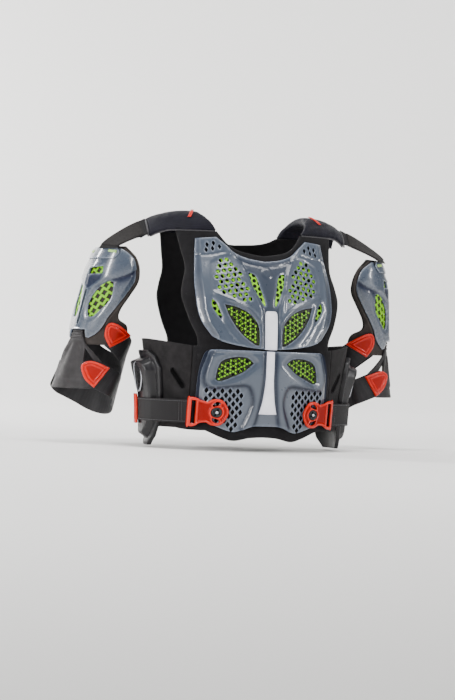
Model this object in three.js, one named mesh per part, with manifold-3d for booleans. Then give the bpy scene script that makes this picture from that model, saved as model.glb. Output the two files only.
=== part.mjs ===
// Off-road roost deflector: hard chest and back shells on foam padding, side guards, shoulder pads and
// upper-arm guards, joined by webbing with moulded buckles. It is modelled as worn.
// Millimetres, +Z up, the wearer faces -Y and their left side is +X. The origin is midway between the two
// places where the shoulder pads bear on the wearer's shoulders.

import * as THREE from 'three';
import { mergeVertices } from 'three/addons/utils/BufferGeometryUtils.js';
import Module from 'manifold-3d';

const wasm = await Module();
wasm.setup();
const { degToRad, lerp } = THREE.MathUtils;

// The torso that the vest closes round, at the outer face of its padding
const VEST_LENGTH = 360;
const TORSO_HALF_WIDTH = 165;
const TORSO_FRONT = 117;
const TORSO_BACK = 108;

// Layers, from the wearer outwards
const GAP = 0.4;
const ARM_GAP = 1;
const PADDING = 9;
const VENT_LINER = 1;
const SHELL = 3;
const RELIEF = 2.5;
const INLAY = 1.5;
const CELL_WIDTH = 24;
const CELL_HEIGHT = 30;

// Chest and back padding
const PADDING_HALF_WIDTH = 134;
const SEAM_DROP = 20;
const ARMHOLE_DROP = 206;
const WAIST_HALF_WIDTH = 118;
const WAIST_DROP = 338;
const HEM_DEPTH = 18;
const NECK_HALF_WIDTH = 72;
const FRONT_NECK_DROP = 58;
const BACK_NECK_DROP = 34;

// Hard shells
const CHEST_SHELL_HALF_WIDTH = 116;
const CHEST_SHELL_TOP = 30;
const CHEST_SHELL_HEIGHT = 179;
const BELLY_SHELL_HALF_WIDTH = 111;
const SHELL_SPLIT = 2;
const BELLY_SHELL_TOP = CHEST_SHELL_TOP + CHEST_SHELL_HEIGHT + SHELL_SPLIT;
const BELLY_SHELL_HEIGHT = 131;
const BACK_SHELL_HALF_WIDTH = 106;
const BACK_SHELL_TOP = 46;
const BACK_SHELL_HEIGHT = 160;
const LUMBAR_SHELL_HALF_WIDTH = BACK_SHELL_HALF_WIDTH + 2;
const LUMBAR_SHELL_TOP = BACK_SHELL_TOP + BACK_SHELL_HEIGHT + SHELL_SPLIT;
const LUMBAR_SHELL_HEIGHT = 128;
const INLAY_HALF_WIDTH = 10;
const INLAY_HEIGHT = 60;
const BELLY_INLAY_HALF_WIDTH = 15;
const BELLY_INLAY_HEIGHT = 101;
const DIAMOND_WIDTH = 6.8;
const DIAMOND_HEIGHT = 9.6;
const DIAMOND_PITCH_X = 11.8;
const DIAMOND_PITCH_Z = 13.4;
const PERFORATION = 9;
const PERFORATION_PITCH = 16;
const TAB_DIAMOND_WIDTH = 5;
const TAB_DIAMOND_HEIGHT = 8.4;

// Side guards and the wraps that carry them
const WRAP = 3;
const WRAP_SINK = 5;
const WRAP_ARCH = 9;
const WRAP_SLOT_LENGTH = 40;
const WRAP_SLOT_WIDTH = 11;
const WRAP_SLOT_ANGLE = 55;
const WRAP_SLOT_TILT = 40;
const SIDE_PAD_ANGLE = 95;
const SIDE_PAD_SPREAD = 28;
const SIDE_PAD_HEIGHT = 153;
const SIDE_PAD_RAISE = 95;
const SIDE_PAD_RISE = 18;
const SIDE_PAD_FLANGE = 6.5;
const SIDE_VENT_ANGLE = 86;
const SIDE_VENT_WIDTH = 34;
const SIDE_VENT_HEIGHT = 46;
const SIDE_VENT_DEPTH = 5;

// Waist webbing and its buckles
const WEBBING = 2;
const WAIST_STRAP_WIDTH = 37;
const BUCKLE_DROP = 100;
const WAIST_STRAP_DROP = BELLY_SHELL_TOP + BUCKLE_DROP;
const SIDE_PAD_TOP = WAIST_STRAP_DROP - SIDE_PAD_RAISE;
const BUCKLE = 5;
const BUCKLE_LENGTH = 60;
const BUCKLE_HEIGHT = 46;
const BUCKLE_HUB_X = 82;
const HUB_RADIUS = 8;
const HUB_HEIGHT = 7.5;
const CLIP = 5;
const CLIP_LENGTH = 24;
const CLIP_HEIGHT = 48;

// Shoulder pads
const SHOULDER_PAD = 12;
const SHOULDER_HALF_WIDTH = 172;
const SHOULDER_RISE = 32;
const SHOULDER_FALL = 17;
const SHOULDER_DROOP = 14;
const SHOULDER_OPENING = 18;
const SHOULDER_FLAT = 30;
const BRACE_TAB_LENGTH = 26;
const BRACE_TAB_WIDTH = 5;
const LINK_WIDTH = 34;
const LINK = 3;
const LINK_PAD_TURN = -42;
const LINK_ARM_ANGLE = 16;

// Upper arms and their guards
const ARM_X = 203;
const ARM_Y = 40;
const ARM_DROP = 60;
const ARM_SPLAY = 0.16;
const ARM_SWEEP = 0.25;
const ARM_RADIUS = 46;
const DELTOID_DROP = 109;
const DELTOID_HEIGHT = 85;
const SPINE_TURN = 26;
const ARM_PADDING = 6;
const ARM_SHELL_TOP = 54;
const ARM_SHELL_HEIGHT = 147;
const ARM_BORDER = 4;
const ARM_PADDING_TOP = ARM_SHELL_TOP - ARM_BORDER;
const ARM_PADDING_HEIGHT = ARM_SHELL_HEIGHT + 3.5 * ARM_BORDER;
const ARM_CAP_TOP = ARM_SHELL_TOP - 1.5 * ARM_BORDER;
const ARM_CAP_HEIGHT = 19;
const ARM_CAP_SPREAD = 40;
const ARM_RIDGE = 2.5;
const CAP = 1.4;
const FLAP_TOP = ARM_SHELL_TOP + 0.905 * ARM_SHELL_HEIGHT;
const FLAP_HEIGHT = 96;
const FLAP = 4;
const FLAP_FLARE = 6;
const BAND_WIDTH = 38;
const ANCHOR = 4;

// Torso sections from the shoulders down: drop as a share of VEST_LENGTH, width of TORSO_HALF_WIDTH, front of
// TORSO_FRONT, back of TORSO_BACK, and how far the sides are set back as a share of TORSO_FRONT
const TORSO_SECTIONS = [
  { drop: 0.0, width: 1.15, front: 0.42, back: 0.6, setback: 0.42 },
  { drop: 0.07, width: 1.15, front: 0.5, back: 0.72, setback: 0.34 },
  { drop: 0.155, width: 1.14, front: 0.6, back: 0.85, setback: 0.25 },
  { drop: 0.28, width: 1.13, front: 0.795, back: 0.96, setback: 0.12 },
  { drop: 0.41, width: 1.12, front: 0.95, back: 1.0, setback: 0.04 },
  { drop: 0.61, width: 1.06, front: 1.0, back: 0.96, setback: 0.0 },
  { drop: 0.79, width: 1.0, front: 0.98, back: 0.9, setback: 0.0 },
  { drop: 0.89, width: 0.985, front: 0.94, back: 0.9, setback: 0.0 },
  { drop: 1.03, width: 0.98, front: 0.86, back: 0.92, setback: 0.0 },
];

// Half outlines seen from the front or back, as runs from corner to corner: two points make a straight
// edge, more make a smooth curve. Across is a share of a half width, down a share of a height.
const CHEST_PADDING_ARMHOLE = [
  [
    [1.0, 0.0], [0.963, 0.16], [0.935, 0.32], [0.98, 0.46], [1.0, 0.585], [0.925, 0.78], [0.84, 0.92],
    [0.83, 1.0],
  ],
];
const CHEST_SHELL_OUTLINE = [
  [[0.0, 0.205], [0.24, 0.185], [0.415, 0.14], [0.545, 0.067], [0.665, 0.0]],
  [[0.665, 0.0], [0.935, 0.017]],
  [[0.935, 0.017], [0.968, 0.2], [1.0, 0.39], [1.0, 0.52], [0.985, 0.655], [0.93, 0.77], [0.8, 0.895]],
  [[0.8, 0.895], [0.64, 0.945], [0.345, 0.98], [0.0, 1.0]],
];
const CHEST_WING_OUTLINE = [
  [[0.43, 0.17], [0.56, 0.105], [0.87, 0.13]],
  [[0.87, 0.13], [0.91, 0.39], [0.905, 0.66], [0.78, 0.85]],
  [[0.78, 0.85], [0.52, 0.92], [0.19, 0.95]],
  [[0.19, 0.95], [0.125, 0.84], [0.14, 0.67], [0.27, 0.44], [0.43, 0.17]],
];
const PERFORATED_OUTLINE = [
  [0.74, 0.26], [0.58, 0.2], [0.46, 0.2], [0.36, 0.28], [0.3, 0.4], [0.25, 0.58], [0.24, 0.63], [0.42, 0.56],
  [0.64, 0.5], [0.74, 0.46], [0.76, 0.35],
];
const LEAF_VENT = [
  [[0.64, 0.61], [0.49, 0.625], [0.33, 0.675], [0.21, 0.76], [0.165, 0.855], [0.165, 0.965]],
  [[0.165, 0.965], [0.235, 0.955], [0.42, 0.86], [0.57, 0.73], [0.64, 0.61]],
];
const OUTER_SLOT = [
  [[0.8, 0.56], [0.81, 0.62], [0.76, 0.69], [0.7, 0.735]],
  [[0.7, 0.735], [0.68, 0.72], [0.715, 0.655], [0.75, 0.6], [0.8, 0.56]],
];
const INNER_SLOT = [
  [[0.267, 0.31], [0.233, 0.42], [0.155, 0.53], [0.086, 0.61]],
  [[0.086, 0.61], [0.07, 0.59], [0.112, 0.475], [0.172, 0.34], [0.267, 0.31]],
];
const CHEST_LINER_OUTLINE = [
  [[0.0, 0.27], [0.45, 0.19], [0.84, 0.2], [0.92, 0.5], [0.86, 0.78], [0.66, 0.9], [0.0, 0.965]],
];
const BELLY_SHELL_OUTLINE = [
  [[0.0, 0.0], [0.72, 0.0]],
  [[0.72, 0.0], [0.865, 0.008], [0.93, 0.07], [0.985, 0.27], [1.0, 0.53], [0.99, 0.7], [0.93, 0.865]],
  [[0.93, 0.865], [0.72, 0.935], [0.505, 1.0], [0.375, 0.985], [0.215, 0.93], [0.0, 0.915]],
];
const BELLY_BODY_OUTLINE = [
  [[0.15, 0.03], [0.8, 0.05]],
  [[0.8, 0.05], [0.88, 0.15], [0.935, 0.38]],
  [[0.935, 0.38], [0.79, 0.445], [0.5, 0.41], [0.3, 0.4], [0.25, 0.48], [0.235, 0.66], [0.36, 0.89]],
  [[0.36, 0.89], [0.31, 0.92], [0.165, 0.82], [0.14, 0.6], [0.1, 0.4], [0.1, 0.15], [0.15, 0.03]],
];
const BELLY_VENT = [
  [[0.252, 0.153], [0.342, 0.092], [0.514, 0.084], [0.685, 0.13], [0.748, 0.22], [0.775, 0.36]],
  [[0.775, 0.36], [0.712, 0.382], [0.559, 0.328], [0.396, 0.26], [0.252, 0.153]],
];
const BELLY_LINER_OUTLINE = [
  [[0.0, 0.045], [0.82, 0.045]],
  [[0.82, 0.045], [0.9, 0.42]],
  [[0.9, 0.42], [0.0, 0.42]],
];
const GRILLE_OUTLINE = [
  [0.34, 0.47], [0.9, 0.47], [0.89, 0.6], [0.6, 0.62], [0.58, 0.93], [0.54, 0.97], [0.38, 0.86],
];
const BACK_SHELL_OUTLINE = [
  [[0.0, 0.04], [0.45, 0.0], [0.88, 0.03], [0.98, 0.25], [0.95, 0.62], [0.8, 0.93], [0.4, 0.99], [0.0, 1.0]],
];
const BACK_RIDGE_OUTLINE = [
  [[0.0, 0.1], [0.2, 0.14], [0.3, 0.5], [0.24, 0.92], [0.0, 0.95]],
];
const BACK_SLOT = [
  [[0.45, 0.25], [0.8, 0.2]],
  [[0.8, 0.2], [0.82, 0.26]],
  [[0.82, 0.26], [0.47, 0.33]],
  [[0.47, 0.33], [0.45, 0.25]],
];
const LUMBAR_SHELL_OUTLINE = [
  [[0.0, 0.0], [0.78, 0.0]],
  [[0.78, 0.0], [0.93, 0.12], [0.97, 0.4], [0.93, 0.78], [0.72, 0.92], [0.35, 0.99], [0.0, 1.0]],
];
const LUMBAR_RIDGE_OUTLINE = [
  [[0.0, 0.05], [0.2, 0.06], [0.26, 0.5], [0.36, 0.9], [0.0, 0.93]],
];

// Side guard from its top down: height as a share of SIDE_PAD_HEIGHT, spread of SIDE_PAD_SPREAD, rise of
// SIDE_PAD_RISE
const SIDE_PAD_ROWS = [
  { down: 0.0, spread: 0.62, rise: 1.15 },
  { down: 0.06, spread: 0.86, rise: 1.2 },
  { down: 0.18, spread: 1.0, rise: 1.2 },
  { down: 0.45, spread: 0.96, rise: 0.85 },
  { down: 0.72, spread: 0.88, rise: 0.85 },
  { down: 0.9, spread: 0.68, rise: 0.85 },
  { down: 1.0, spread: 0.4, rise: 0.8 },
];
// Thickness of the side guard across its spread: edge at 1, middle at 0, rise as a share of SIDE_PAD_RISE
const SIDE_PAD_PROFILE = [
  { across: 0.0, rise: 1.0 },
  { across: 0.74, rise: 0.9 },
  { across: 0.82, rise: 0.0 },
  { across: 1.0, rise: 0.0 },
];

// Arm guard pieces from their tops down: spread in degrees either side of the spine
const ARM_SHELL_ROWS = [
  { down: 0.0, spread: 44 },
  { down: 0.05, spread: 62 },
  { down: 0.11, spread: 76 },
  { down: 0.22, spread: 84 },
  { down: 0.35, spread: 86 },
  { down: 0.5, spread: 75 },
  { down: 0.65, spread: 62 },
  { down: 0.76, spread: 52 },
  { down: 0.86, spread: 46 },
  { down: 0.94, spread: 38 },
  { down: 1.0, spread: 24 },
];
const ARM_PADDING_ROWS = [
  { down: 0.0, spread: 50 },
  { down: 0.07, spread: 70 },
  { down: 0.14, spread: 82 },
  { down: 0.24, spread: 90 },
  { down: 0.36, spread: 92 },
  { down: 0.5, spread: 81 },
  { down: 0.64, spread: 70 },
  { down: 0.73, spread: 72 },
  { down: 0.8, spread: 94 },
  { down: 0.92, spread: 98 },
  { down: 1.0, spread: 62 },
];
const FLAP_ROWS = [
  { down: 0.0, spread: 11 },
  { down: 0.22, spread: 22 },
  { down: 0.44, spread: 48 },
  { down: 0.64, spread: 68 },
  { down: 0.82, spread: 62 },
  { down: 0.96, spread: 56 },
  { down: 1.0, spread: 48 },
];
// Shapes on the arm: degrees forward of the spine, and a share of the shell's or flap's height down
const ARM_LEAF_VENT = [
  [[44, 0.37], [46, 0.56], [25, 0.755]],
  [[25, 0.755], [15, 0.75], [10, 0.61], [20, 0.44], [34, 0.37], [44, 0.37]],
];
const LEAF_VENT_ANGLE = 28;
const ARM_TOP_VENT = [[[-9, 0.22], [20, 0.2], [22, 0.28], [-6, 0.29], [-9, 0.22]]];
const ARM_SPINE_SLOT = [
  [[-3, 0.46], [2, 0.46]],
  [[2, 0.46], [2, 0.84]],
  [[2, 0.84], [-3, 0.84]],
  [[-3, 0.84], [-3, 0.46]],
];
const FLAP_WINDOW_ANGLE = 36;
const FLAP_WINDOW = [
  [[26, 0.32], [46, 0.52]],
  [[46, 0.52], [29, 0.54]],
  [[29, 0.54], [26, 0.32]],
];

// Arm bands: how far each loop's middle lies below the shoulders, how far it dips towards the body as a share
// of its width, and the angles where its upper and lower edges start under the anchor
const BANDS = {
  upper: { drop: ARM_PADDING_TOP + 0.99 * ARM_PADDING_HEIGHT, dip: 1.05, upperStart: 92, lowerStart: 56 },
  lower: { drop: FLAP_TOP + 0.93 * FLAP_HEIGHT, dip: 0.74, upperStart: 62, lowerStart: 45 },
};
// Anchor outlines: degrees round the arm, and shares of the band's width above the loop's middle
const ANCHORS = {
  upper: { angle: 76, points: [[51, 0.74], [58, 0.92], [75, 0.79], [101.5, 0.4], [66, -0.14], [53, 0.32]] },
  lower: { angle: 52, points: [[30, 0.78], [36, 0.99], [48, 1], [71.5, 0.75], [55.5, -0.12], [40, 0.25]] },
};

// A smooth value between the rows of a table: cubic pieces whose slopes follow their neighbours
function tableValue(rows, by, column, at) {
  const x = rows.map((row) => row[by]);
  const y = rows.map((row) => row[column]);
  const last = rows.length - 1;
  const here = Math.min(Math.max(at, x[0]), x[last]);
  let i = 0;
  while (i < last - 1 && here > x[i + 1]) i += 1;
  const slope = (k) => {
    const before = Math.max(k - 1, 0);
    const after = Math.min(k + 1, last);
    return (y[after] - y[before]) / (x[after] - x[before]);
  };
  const span = x[i + 1] - x[i];
  const t = (here - x[i]) / span;
  const start = (1 + 2 * t) * (1 - t) ** 2 * y[i] + t * (1 - t) ** 2 * span * slope(i);
  const end = t * t * (3 - 2 * t) * y[i + 1] + t * t * (t - 1) * span * slope(i + 1);
  return start + end;
}

// Straight lines between the rows of a table
function tableLine(rows, by, column, at) {
  let i = 0;
  while (i < rows.length - 2 && at > rows[i + 1][by]) i += 1;
  const t = (at - rows[i][by]) / (rows[i + 1][by] - rows[i][by]);
  return lerp(rows[i][column], rows[i + 1][column], Math.min(Math.max(t, 0), 1));
}

// The torso's half width, front, back and setback at a height
function torsoSection(z) {
  const share = (column) => tableValue(TORSO_SECTIONS, 'drop', column, -z / VEST_LENGTH);
  return {
    half: TORSO_HALF_WIDTH * share('width'),
    front: TORSO_FRONT * share('front'),
    back: TORSO_BACK * share('back'),
    setback: TORSO_FRONT * share('setback'),
  };
}

// How far forward or back the torso is at x and z, `out` proud of the padding: side is -1 in front, 1 behind
function torsoDepth(side, x, z, out) {
  const section = torsoSection(z);
  const reach = (side < 0 ? section.front : section.back) + out;
  const across = Math.min(Math.abs(x) / (section.half + out), 1);
  return side * reach * Math.sqrt(1 - across * across) + section.setback * (x / section.half) ** 2;
}

// A point round the torso: 0 degrees at the breastbone, 90 at the flank, 180 at the spine
function torsoPoint(angle, z, out) {
  const turn = degToRad(angle);
  const x = (torsoSection(z).half + out) * Math.sin(turn);
  return new THREE.Vector3(x, torsoDepth(angle < 90 ? -1 : 1, x, z, out), z);
}

// The angle round the torso where the front (or the back) is x wide
function torsoAngle(side, x, z, out) {
  const turn = THREE.MathUtils.radToDeg(Math.asin(x / (torsoSection(z).half + out)));
  return side < 0 ? turn : 180 - turn;
}

// The arm's middle at a height; the deltoid rounds its radius off at the top
function armCentre(z) {
  return new THREE.Vector3(ARM_X - ARM_SPLAY * (z + ARM_DROP), ARM_Y - ARM_SWEEP * (z + ARM_DROP), z);
}

// A point round the arm: 0 degrees at the guard's spine, positive towards the front
function armPoint(angle, z, out) {
  const rise = Math.max(z + DELTOID_DROP, 0) / DELTOID_HEIGHT;
  const radius = ARM_RADIUS * Math.sqrt(1 - rise * rise) + out;
  const turn = degToRad(SPINE_TURN + angle);
  return armCentre(z).add(new THREE.Vector3(radius * Math.cos(turn), -radius * Math.sin(turn), 0));
}

// A closed block of cells bent by a function of across, along and through, each from 0 to 1
function bentBlock(cellsAcross, cellsAlong, place) {
  const block = new THREE.BoxGeometry(1, 1, 1, cellsAcross, 1, cellsAlong);
  const position = block.getAttribute('position');
  for (let i = 0; i < position.count; i += 1) {
    const across = position.getX(i) + 0.5;
    const through = 0.5 - position.getY(i);
    const along = position.getZ(i) + 0.5;
    const p = place(across, along, through);
    position.setXYZ(i, p.x, p.y, p.z);
  }
  return toSolid(block);
}

// A three.js geometry as a solid, with its faces turned out if the bend turned them in
function toSolid(geometry) {
  const bare = geometry.index ? geometry.toNonIndexed() : geometry.clone();
  bare.deleteAttribute('normal');
  bare.deleteAttribute('uv');
  const merged = mergeVertices(bare, 1e-4);
  const triVerts = new Uint32Array(merged.index.array);
  const vertProperties = merged.getAttribute('position').array;
  const made = new wasm.Manifold(new wasm.Mesh({ numProp: 3, vertProperties, triVerts }));
  if (made.volume() > 0) return made;
  triVerts.reverse();
  return new wasm.Manifold(new wasm.Mesh({ numProp: 3, vertProperties, triVerts }));
}

function toGeometry(solid) {
  const { numProp, vertProperties, triVerts } = solid.getMesh();
  const geometry = new THREE.BufferGeometry();
  geometry.setAttribute('position', new THREE.BufferAttribute(vertProperties.slice(), numProp));
  geometry.setIndex(new THREE.BufferAttribute(triVerts.slice(), 1));
  geometry.computeVertexNormals();
  return geometry;
}

// The points of an outline's runs, each scaled by a width and a height
function runPoints(runs, place) {
  const points = [];
  for (const run of runs) {
    const knots = run.map(([across, down]) => place(across, down));
    const curve = knots.length === 2 ? new THREE.LineCurve(...knots) : new THREE.SplineCurve(knots);
    const pieces = knots.length === 2 ? 1 : (knots.length - 1) * 2;
    points.push(...curve.getPoints(pieces).slice(0, -1));
  }
  return points;
}

// The closed outline on the wearer's left, or the whole of a half outline that starts and ends at x = 0
function frontShape(runs, halfWidth, top, height, mirrored) {
  const place = (across, down) => new THREE.Vector2(across * halfWidth, -top - down * height);
  const half = runPoints(runs, place);
  if (!mirrored) return new THREE.Shape(half);
  const [across, down] = runs.at(-1).at(-1);
  half.push(place(across, down));
  const other = half.map((p) => new THREE.Vector2(-p.x, p.y)).reverse();
  const apart = (p, i, all) => i === 0 || p.distanceTo(all[i - 1]) > 0.01;
  return new THREE.Shape([...half, ...other].filter(apart).slice(0, -1));
}

// A prism with a front-view section that reaches through the whole front or back
function frontPrism(shape, side) {
  const depth = 2 * Math.max(TORSO_FRONT, TORSO_BACK);
  const prism = new THREE.ExtrudeGeometry(shape, { depth, bevelEnabled: false, curveSegments: 4 });
  prism.rotateX(Math.PI / 2);
  if (side > 0) prism.translate(0, depth, 0);
  return toSolid(prism);
}

// A sheet of the front or back between two levels, on a grid that all such sheets share
function torsoSheet(side, halfWidth, top, bottom, inner, outer) {
  const columns = Math.ceil(halfWidth / CELL_WIDTH) * 2;
  const first = Math.floor(top / CELL_HEIGHT);
  const rows = Math.ceil(bottom / CELL_HEIGHT) - first;
  return bentBlock(columns, rows, (across, along, through) => {
    const x = (across - 0.5) * columns * CELL_WIDTH;
    const z = -(first + (1 - along) * rows) * CELL_HEIGHT;
    return new THREE.Vector3(x, torsoDepth(side, x, z, lerp(inner, outer, through)), z);
  });
}

// A sheet cut to an outline
function torsoPanel(side, runs, halfWidth, top, height, inner, outer) {
  const sheet = torsoSheet(side, halfWidth, top, top + height, inner, outer);
  return sheet.intersect(frontPrism(frontShape(runs, halfWidth, top, height, true), side));
}

// A pair of raised panels, one each side of the middle
function torsoWings(side, runs, halfWidth, top, height, inner, outer) {
  const sheet = torsoSheet(side, halfWidth, top, top + height, inner, outer);
  const left = frontPrism(frontShape(runs, halfWidth, top, height, false), side);
  return sheet.intersect(left.add(left.mirror([1, 0, 0])));
}

// Holes through the front or back, one each side of the middle
function cutBoth(solid, side, shapes) {
  return shapes.reduce((rest, shape) => {
    const hole = frontPrism(shape, side);
    return rest.subtract(hole).subtract(hole.mirror([1, 0, 0]));
  }, solid);
}

function diamond(x, z, width, height) {
  return new THREE.Shape([
    new THREE.Vector2(x, z + height / 2),
    new THREE.Vector2(x - width / 2, z),
    new THREE.Vector2(x, z - height / 2),
    new THREE.Vector2(x + width / 2, z),
  ]);
}

function insideOutline(points, x, z) {
  let inside = false;
  points.forEach((a, i) => {
    const b = points[(i + 1) % points.length];
    if (a.y > z !== b.y > z && x < a.x + ((z - a.y) / (b.y - a.y)) * (b.x - a.x)) inside = !inside;
  });
  return inside;
}

// Staggered holes whose middles lie inside an outline of shares of a shell's size
function staggeredHoles(outline, [halfWidth, top, height], [pitchX, pitchZ], hole) {
  const region = outline.map(([across, down]) => new THREE.Vector2(across * halfWidth, -top - down * height));
  const shapes = [];
  for (let column = 0; column < (2 * halfWidth) / pitchX; column += 1) {
    for (let row = 0; row < height / pitchZ; row += 1) {
      const x = (column * pitchX) / 2;
      const z = -top - (row + (column % 2) / 2) * pitchZ;
      if (insideOutline(region, x, z)) shapes.push(hole(x, z));
    }
  }
  return shapes;
}

// Five diamonds on the shoulder tab of the chest shell, as shares of the shell's size
const TAB_DIAMONDS = [[0.8, 0.07], [0.71, 0.055], [0.82, 0.12], [0.73, 0.105], [0.63, 0.085]];

const SHELL_SEAT = VENT_LINER + 2 * GAP;
const SHELL_FACE = SHELL_SEAT + SHELL;
const BACK_SEAT = 2.4 * GAP;
const CHEST_SHELL_SIZE = [CHEST_SHELL_HALF_WIDTH, CHEST_SHELL_TOP, CHEST_SHELL_HEIGHT];
const BELLY_SHELL_SIZE = [BELLY_SHELL_HALF_WIDTH, BELLY_SHELL_TOP, BELLY_SHELL_HEIGHT];

// Padding of the front or back: a yoke with a neckline and armholes, down to a shaped hem
function paddingRuns(neckDrop, hem) {
  const neck = [
    [0, neckDrop],
    [NECK_HALF_WIDTH * 0.53, lerp(neckDrop, SEAM_DROP, 0.18)],
    [NECK_HALF_WIDTH * 0.8, lerp(neckDrop, SEAM_DROP, 0.5)],
    [NECK_HALF_WIDTH, SEAM_DROP],
  ];
  const armhole = CHEST_PADDING_ARMHOLE[0].map(([across, down]) => [
    across * PADDING_HALF_WIDTH,
    lerp(SEAM_DROP, ARMHOLE_DROP, down),
  ]);
  return [
    neck,
    [[NECK_HALF_WIDTH, SEAM_DROP], armhole[0]],
    armhole,
    [armhole.at(-1), [WAIST_HALF_WIDTH, ARMHOLE_DROP]],
    [[WAIST_HALF_WIDTH, ARMHOLE_DROP], [WAIST_HALF_WIDTH, WAIST_DROP]],
    hem.map(([across, down]) => [across * WAIST_HALF_WIDTH, WAIST_DROP + down * HEM_DEPTH]),
  ];
}

const FRONT_HEM = [[1, 0], [0.83, 0.06], [0.58, 0.72], [0.41, 1], [0.2, 0.72], [0, 0.64]];
const BACK_HEM = [[1, 0], [0.6, 0.5], [0, 0.6]];

function padding(side, neckDrop, hem) {
  const sheet = torsoSheet(side, PADDING_HALF_WIDTH, SEAM_DROP, WAIST_DROP + HEM_DEPTH, -PADDING, 0);
  return sheet.intersect(frontPrism(frontShape(paddingRuns(neckDrop, hem), 1, 0, 1, true), side));
}

function chestShell() {
  const size = CHEST_SHELL_SIZE;
  const base = torsoPanel(-1, CHEST_SHELL_OUTLINE, ...size, SHELL_SEAT, SHELL_FACE);
  const wings = torsoWings(-1, CHEST_WING_OUTLINE, ...size, SHELL_SEAT, SHELL_FACE + RELIEF);
  const vents = [LEAF_VENT, OUTER_SLOT, INNER_SLOT].map((runs) => frontShape(runs, ...size, false));
  const tabs = TAB_DIAMONDS.map(([across, down]) =>
    diamond(
      across * CHEST_SHELL_HALF_WIDTH,
      -CHEST_SHELL_TOP - down * CHEST_SHELL_HEIGHT,
      TAB_DIAMOND_WIDTH,
      TAB_DIAMOND_HEIGHT,
    ),
  );
  const perforation = (x, z) => diamond(x, z, PERFORATION, PERFORATION);
  const pitch = [PERFORATION_PITCH, PERFORATION_PITCH];
  const perforations = staggeredHoles(PERFORATED_OUTLINE, size, pitch, perforation);
  return cutBoth(base.add(wings), -1, [...vents, ...tabs, ...perforations]);
}

function bellyShell() {
  const size = BELLY_SHELL_SIZE;
  const base = torsoPanel(-1, BELLY_SHELL_OUTLINE, ...size, SHELL_SEAT, SHELL_FACE);
  const body = torsoWings(-1, BELLY_BODY_OUTLINE, ...size, SHELL_SEAT, SHELL_FACE + RELIEF);
  const pitch = [DIAMOND_PITCH_X, DIAMOND_PITCH_Z];
  const diamonds = staggeredHoles(GRILLE_OUTLINE, size, pitch, (x, z) =>
    diamond(x, z, DIAMOND_WIDTH, DIAMOND_HEIGHT),
  );
  return cutBoth(base.add(body), -1, [frontShape(BELLY_VENT, ...size, false), ...diamonds]);
}

// Pale strip down the middle of the chest shell, and its flared partner on the belly shell
function inlay(top, height, rows) {
  const runs = [[[0, 0], [rows[0].half, 0]]];
  rows.slice(1).forEach((row, i) => runs.push([[rows[i].half, rows[i].down], [row.half, row.down]]));
  runs.push([[rows.at(-1).half, 1], [0, 1]]);
  const seat = SHELL_FACE + GAP;
  return torsoPanel(-1, runs, BELLY_INLAY_HALF_WIDTH, top, height, seat, seat + INLAY);
}

const CHEST_INLAY_ROWS = [
  { half: INLAY_HALF_WIDTH / BELLY_INLAY_HALF_WIDTH, down: 0 },
  { half: INLAY_HALF_WIDTH / BELLY_INLAY_HALF_WIDTH, down: 1 },
];
const BELLY_INLAY_ROWS = [
  { half: 0.42, down: 0 },
  { half: 0.45, down: 0.5 },
  { half: 0.68, down: 0.8 },
  { half: 1, down: 1 },
];

function backShell() {
  const size = [BACK_SHELL_HALF_WIDTH, BACK_SHELL_TOP, BACK_SHELL_HEIGHT];
  const base = torsoPanel(1, BACK_SHELL_OUTLINE, ...size, BACK_SEAT, BACK_SEAT + SHELL);
  const ridge = torsoPanel(1, BACK_RIDGE_OUTLINE, ...size, BACK_SEAT, BACK_SEAT + SHELL + RELIEF);
  const slots = [0, 1, 2].map((step) =>
    frontShape(BACK_SLOT, size[0], size[1] + step * 0.2 * BACK_SHELL_HEIGHT, size[2], false),
  );
  return cutBoth(base.add(ridge), 1, slots);
}

function lumbarShell() {
  const size = [LUMBAR_SHELL_HALF_WIDTH, LUMBAR_SHELL_TOP, LUMBAR_SHELL_HEIGHT];
  const base = torsoPanel(1, LUMBAR_SHELL_OUTLINE, ...size, BACK_SEAT, BACK_SEAT + SHELL);
  const ridge = torsoPanel(1, LUMBAR_RIDGE_OUTLINE, ...size, BACK_SEAT, BACK_SEAT + SHELL + RELIEF);
  return base.add(ridge);
}

// Stretch wrap from the front padding's side edge round the flank to the back padding's
function sideWrap() {
  const inner = -WRAP_SINK;
  const edge = WAIST_HALF_WIDTH + GAP;
  const sheet = bentBlock(10, 4, (across, along, through) => {
    const out = lerp(inner, inner + WRAP, through);
    const arch = WRAP_ARCH * Math.sin(Math.PI * across);
    const z = lerp(-WAIST_DROP, -ARMHOLE_DROP + arch, along);
    const angle = lerp(torsoAngle(-1, edge, z, out), torsoAngle(1, edge, z, out), across);
    return torsoPoint(angle, z, out);
  });
  const slot = new THREE.BoxGeometry(WRAP_SLOT_WIDTH, 6 * PADDING, WRAP_SLOT_LENGTH);
  slot.rotateY(degToRad(WRAP_SLOT_TILT));
  slot.rotateZ(degToRad(WRAP_SLOT_ANGLE));
  const middle = torsoPoint(WRAP_SLOT_ANGLE, lerp(-ARMHOLE_DROP, -WAIST_DROP, 0.4), inner);
  slot.translate(middle.x, middle.y, middle.z);
  return sheet.subtract(toSolid(slot));
}

const PAD_SEAT = WRAP - WRAP_SINK + 3 * GAP;
const FLANGE_FACE = PAD_SEAT + SIDE_PAD_FLANGE;

// How proud the side guard's middle stands at a share of its height
function padFace(down) {
  return PAD_SEAT + SIDE_PAD_RISE * tableLine(SIDE_PAD_ROWS, 'down', 'rise', down);
}

// Thickness of the side guard: a flat flange round a raised, rounded body
function sidePadRise(across, down) {
  const end = Math.min(down, 1 - down) * 5;
  const body = Math.min(tableLine(SIDE_PAD_PROFILE, 'across', 'rise', across), end > 0.5 ? 1 : end * 2);
  return lerp(FLANGE_FACE, padFace(down), body);
}

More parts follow.
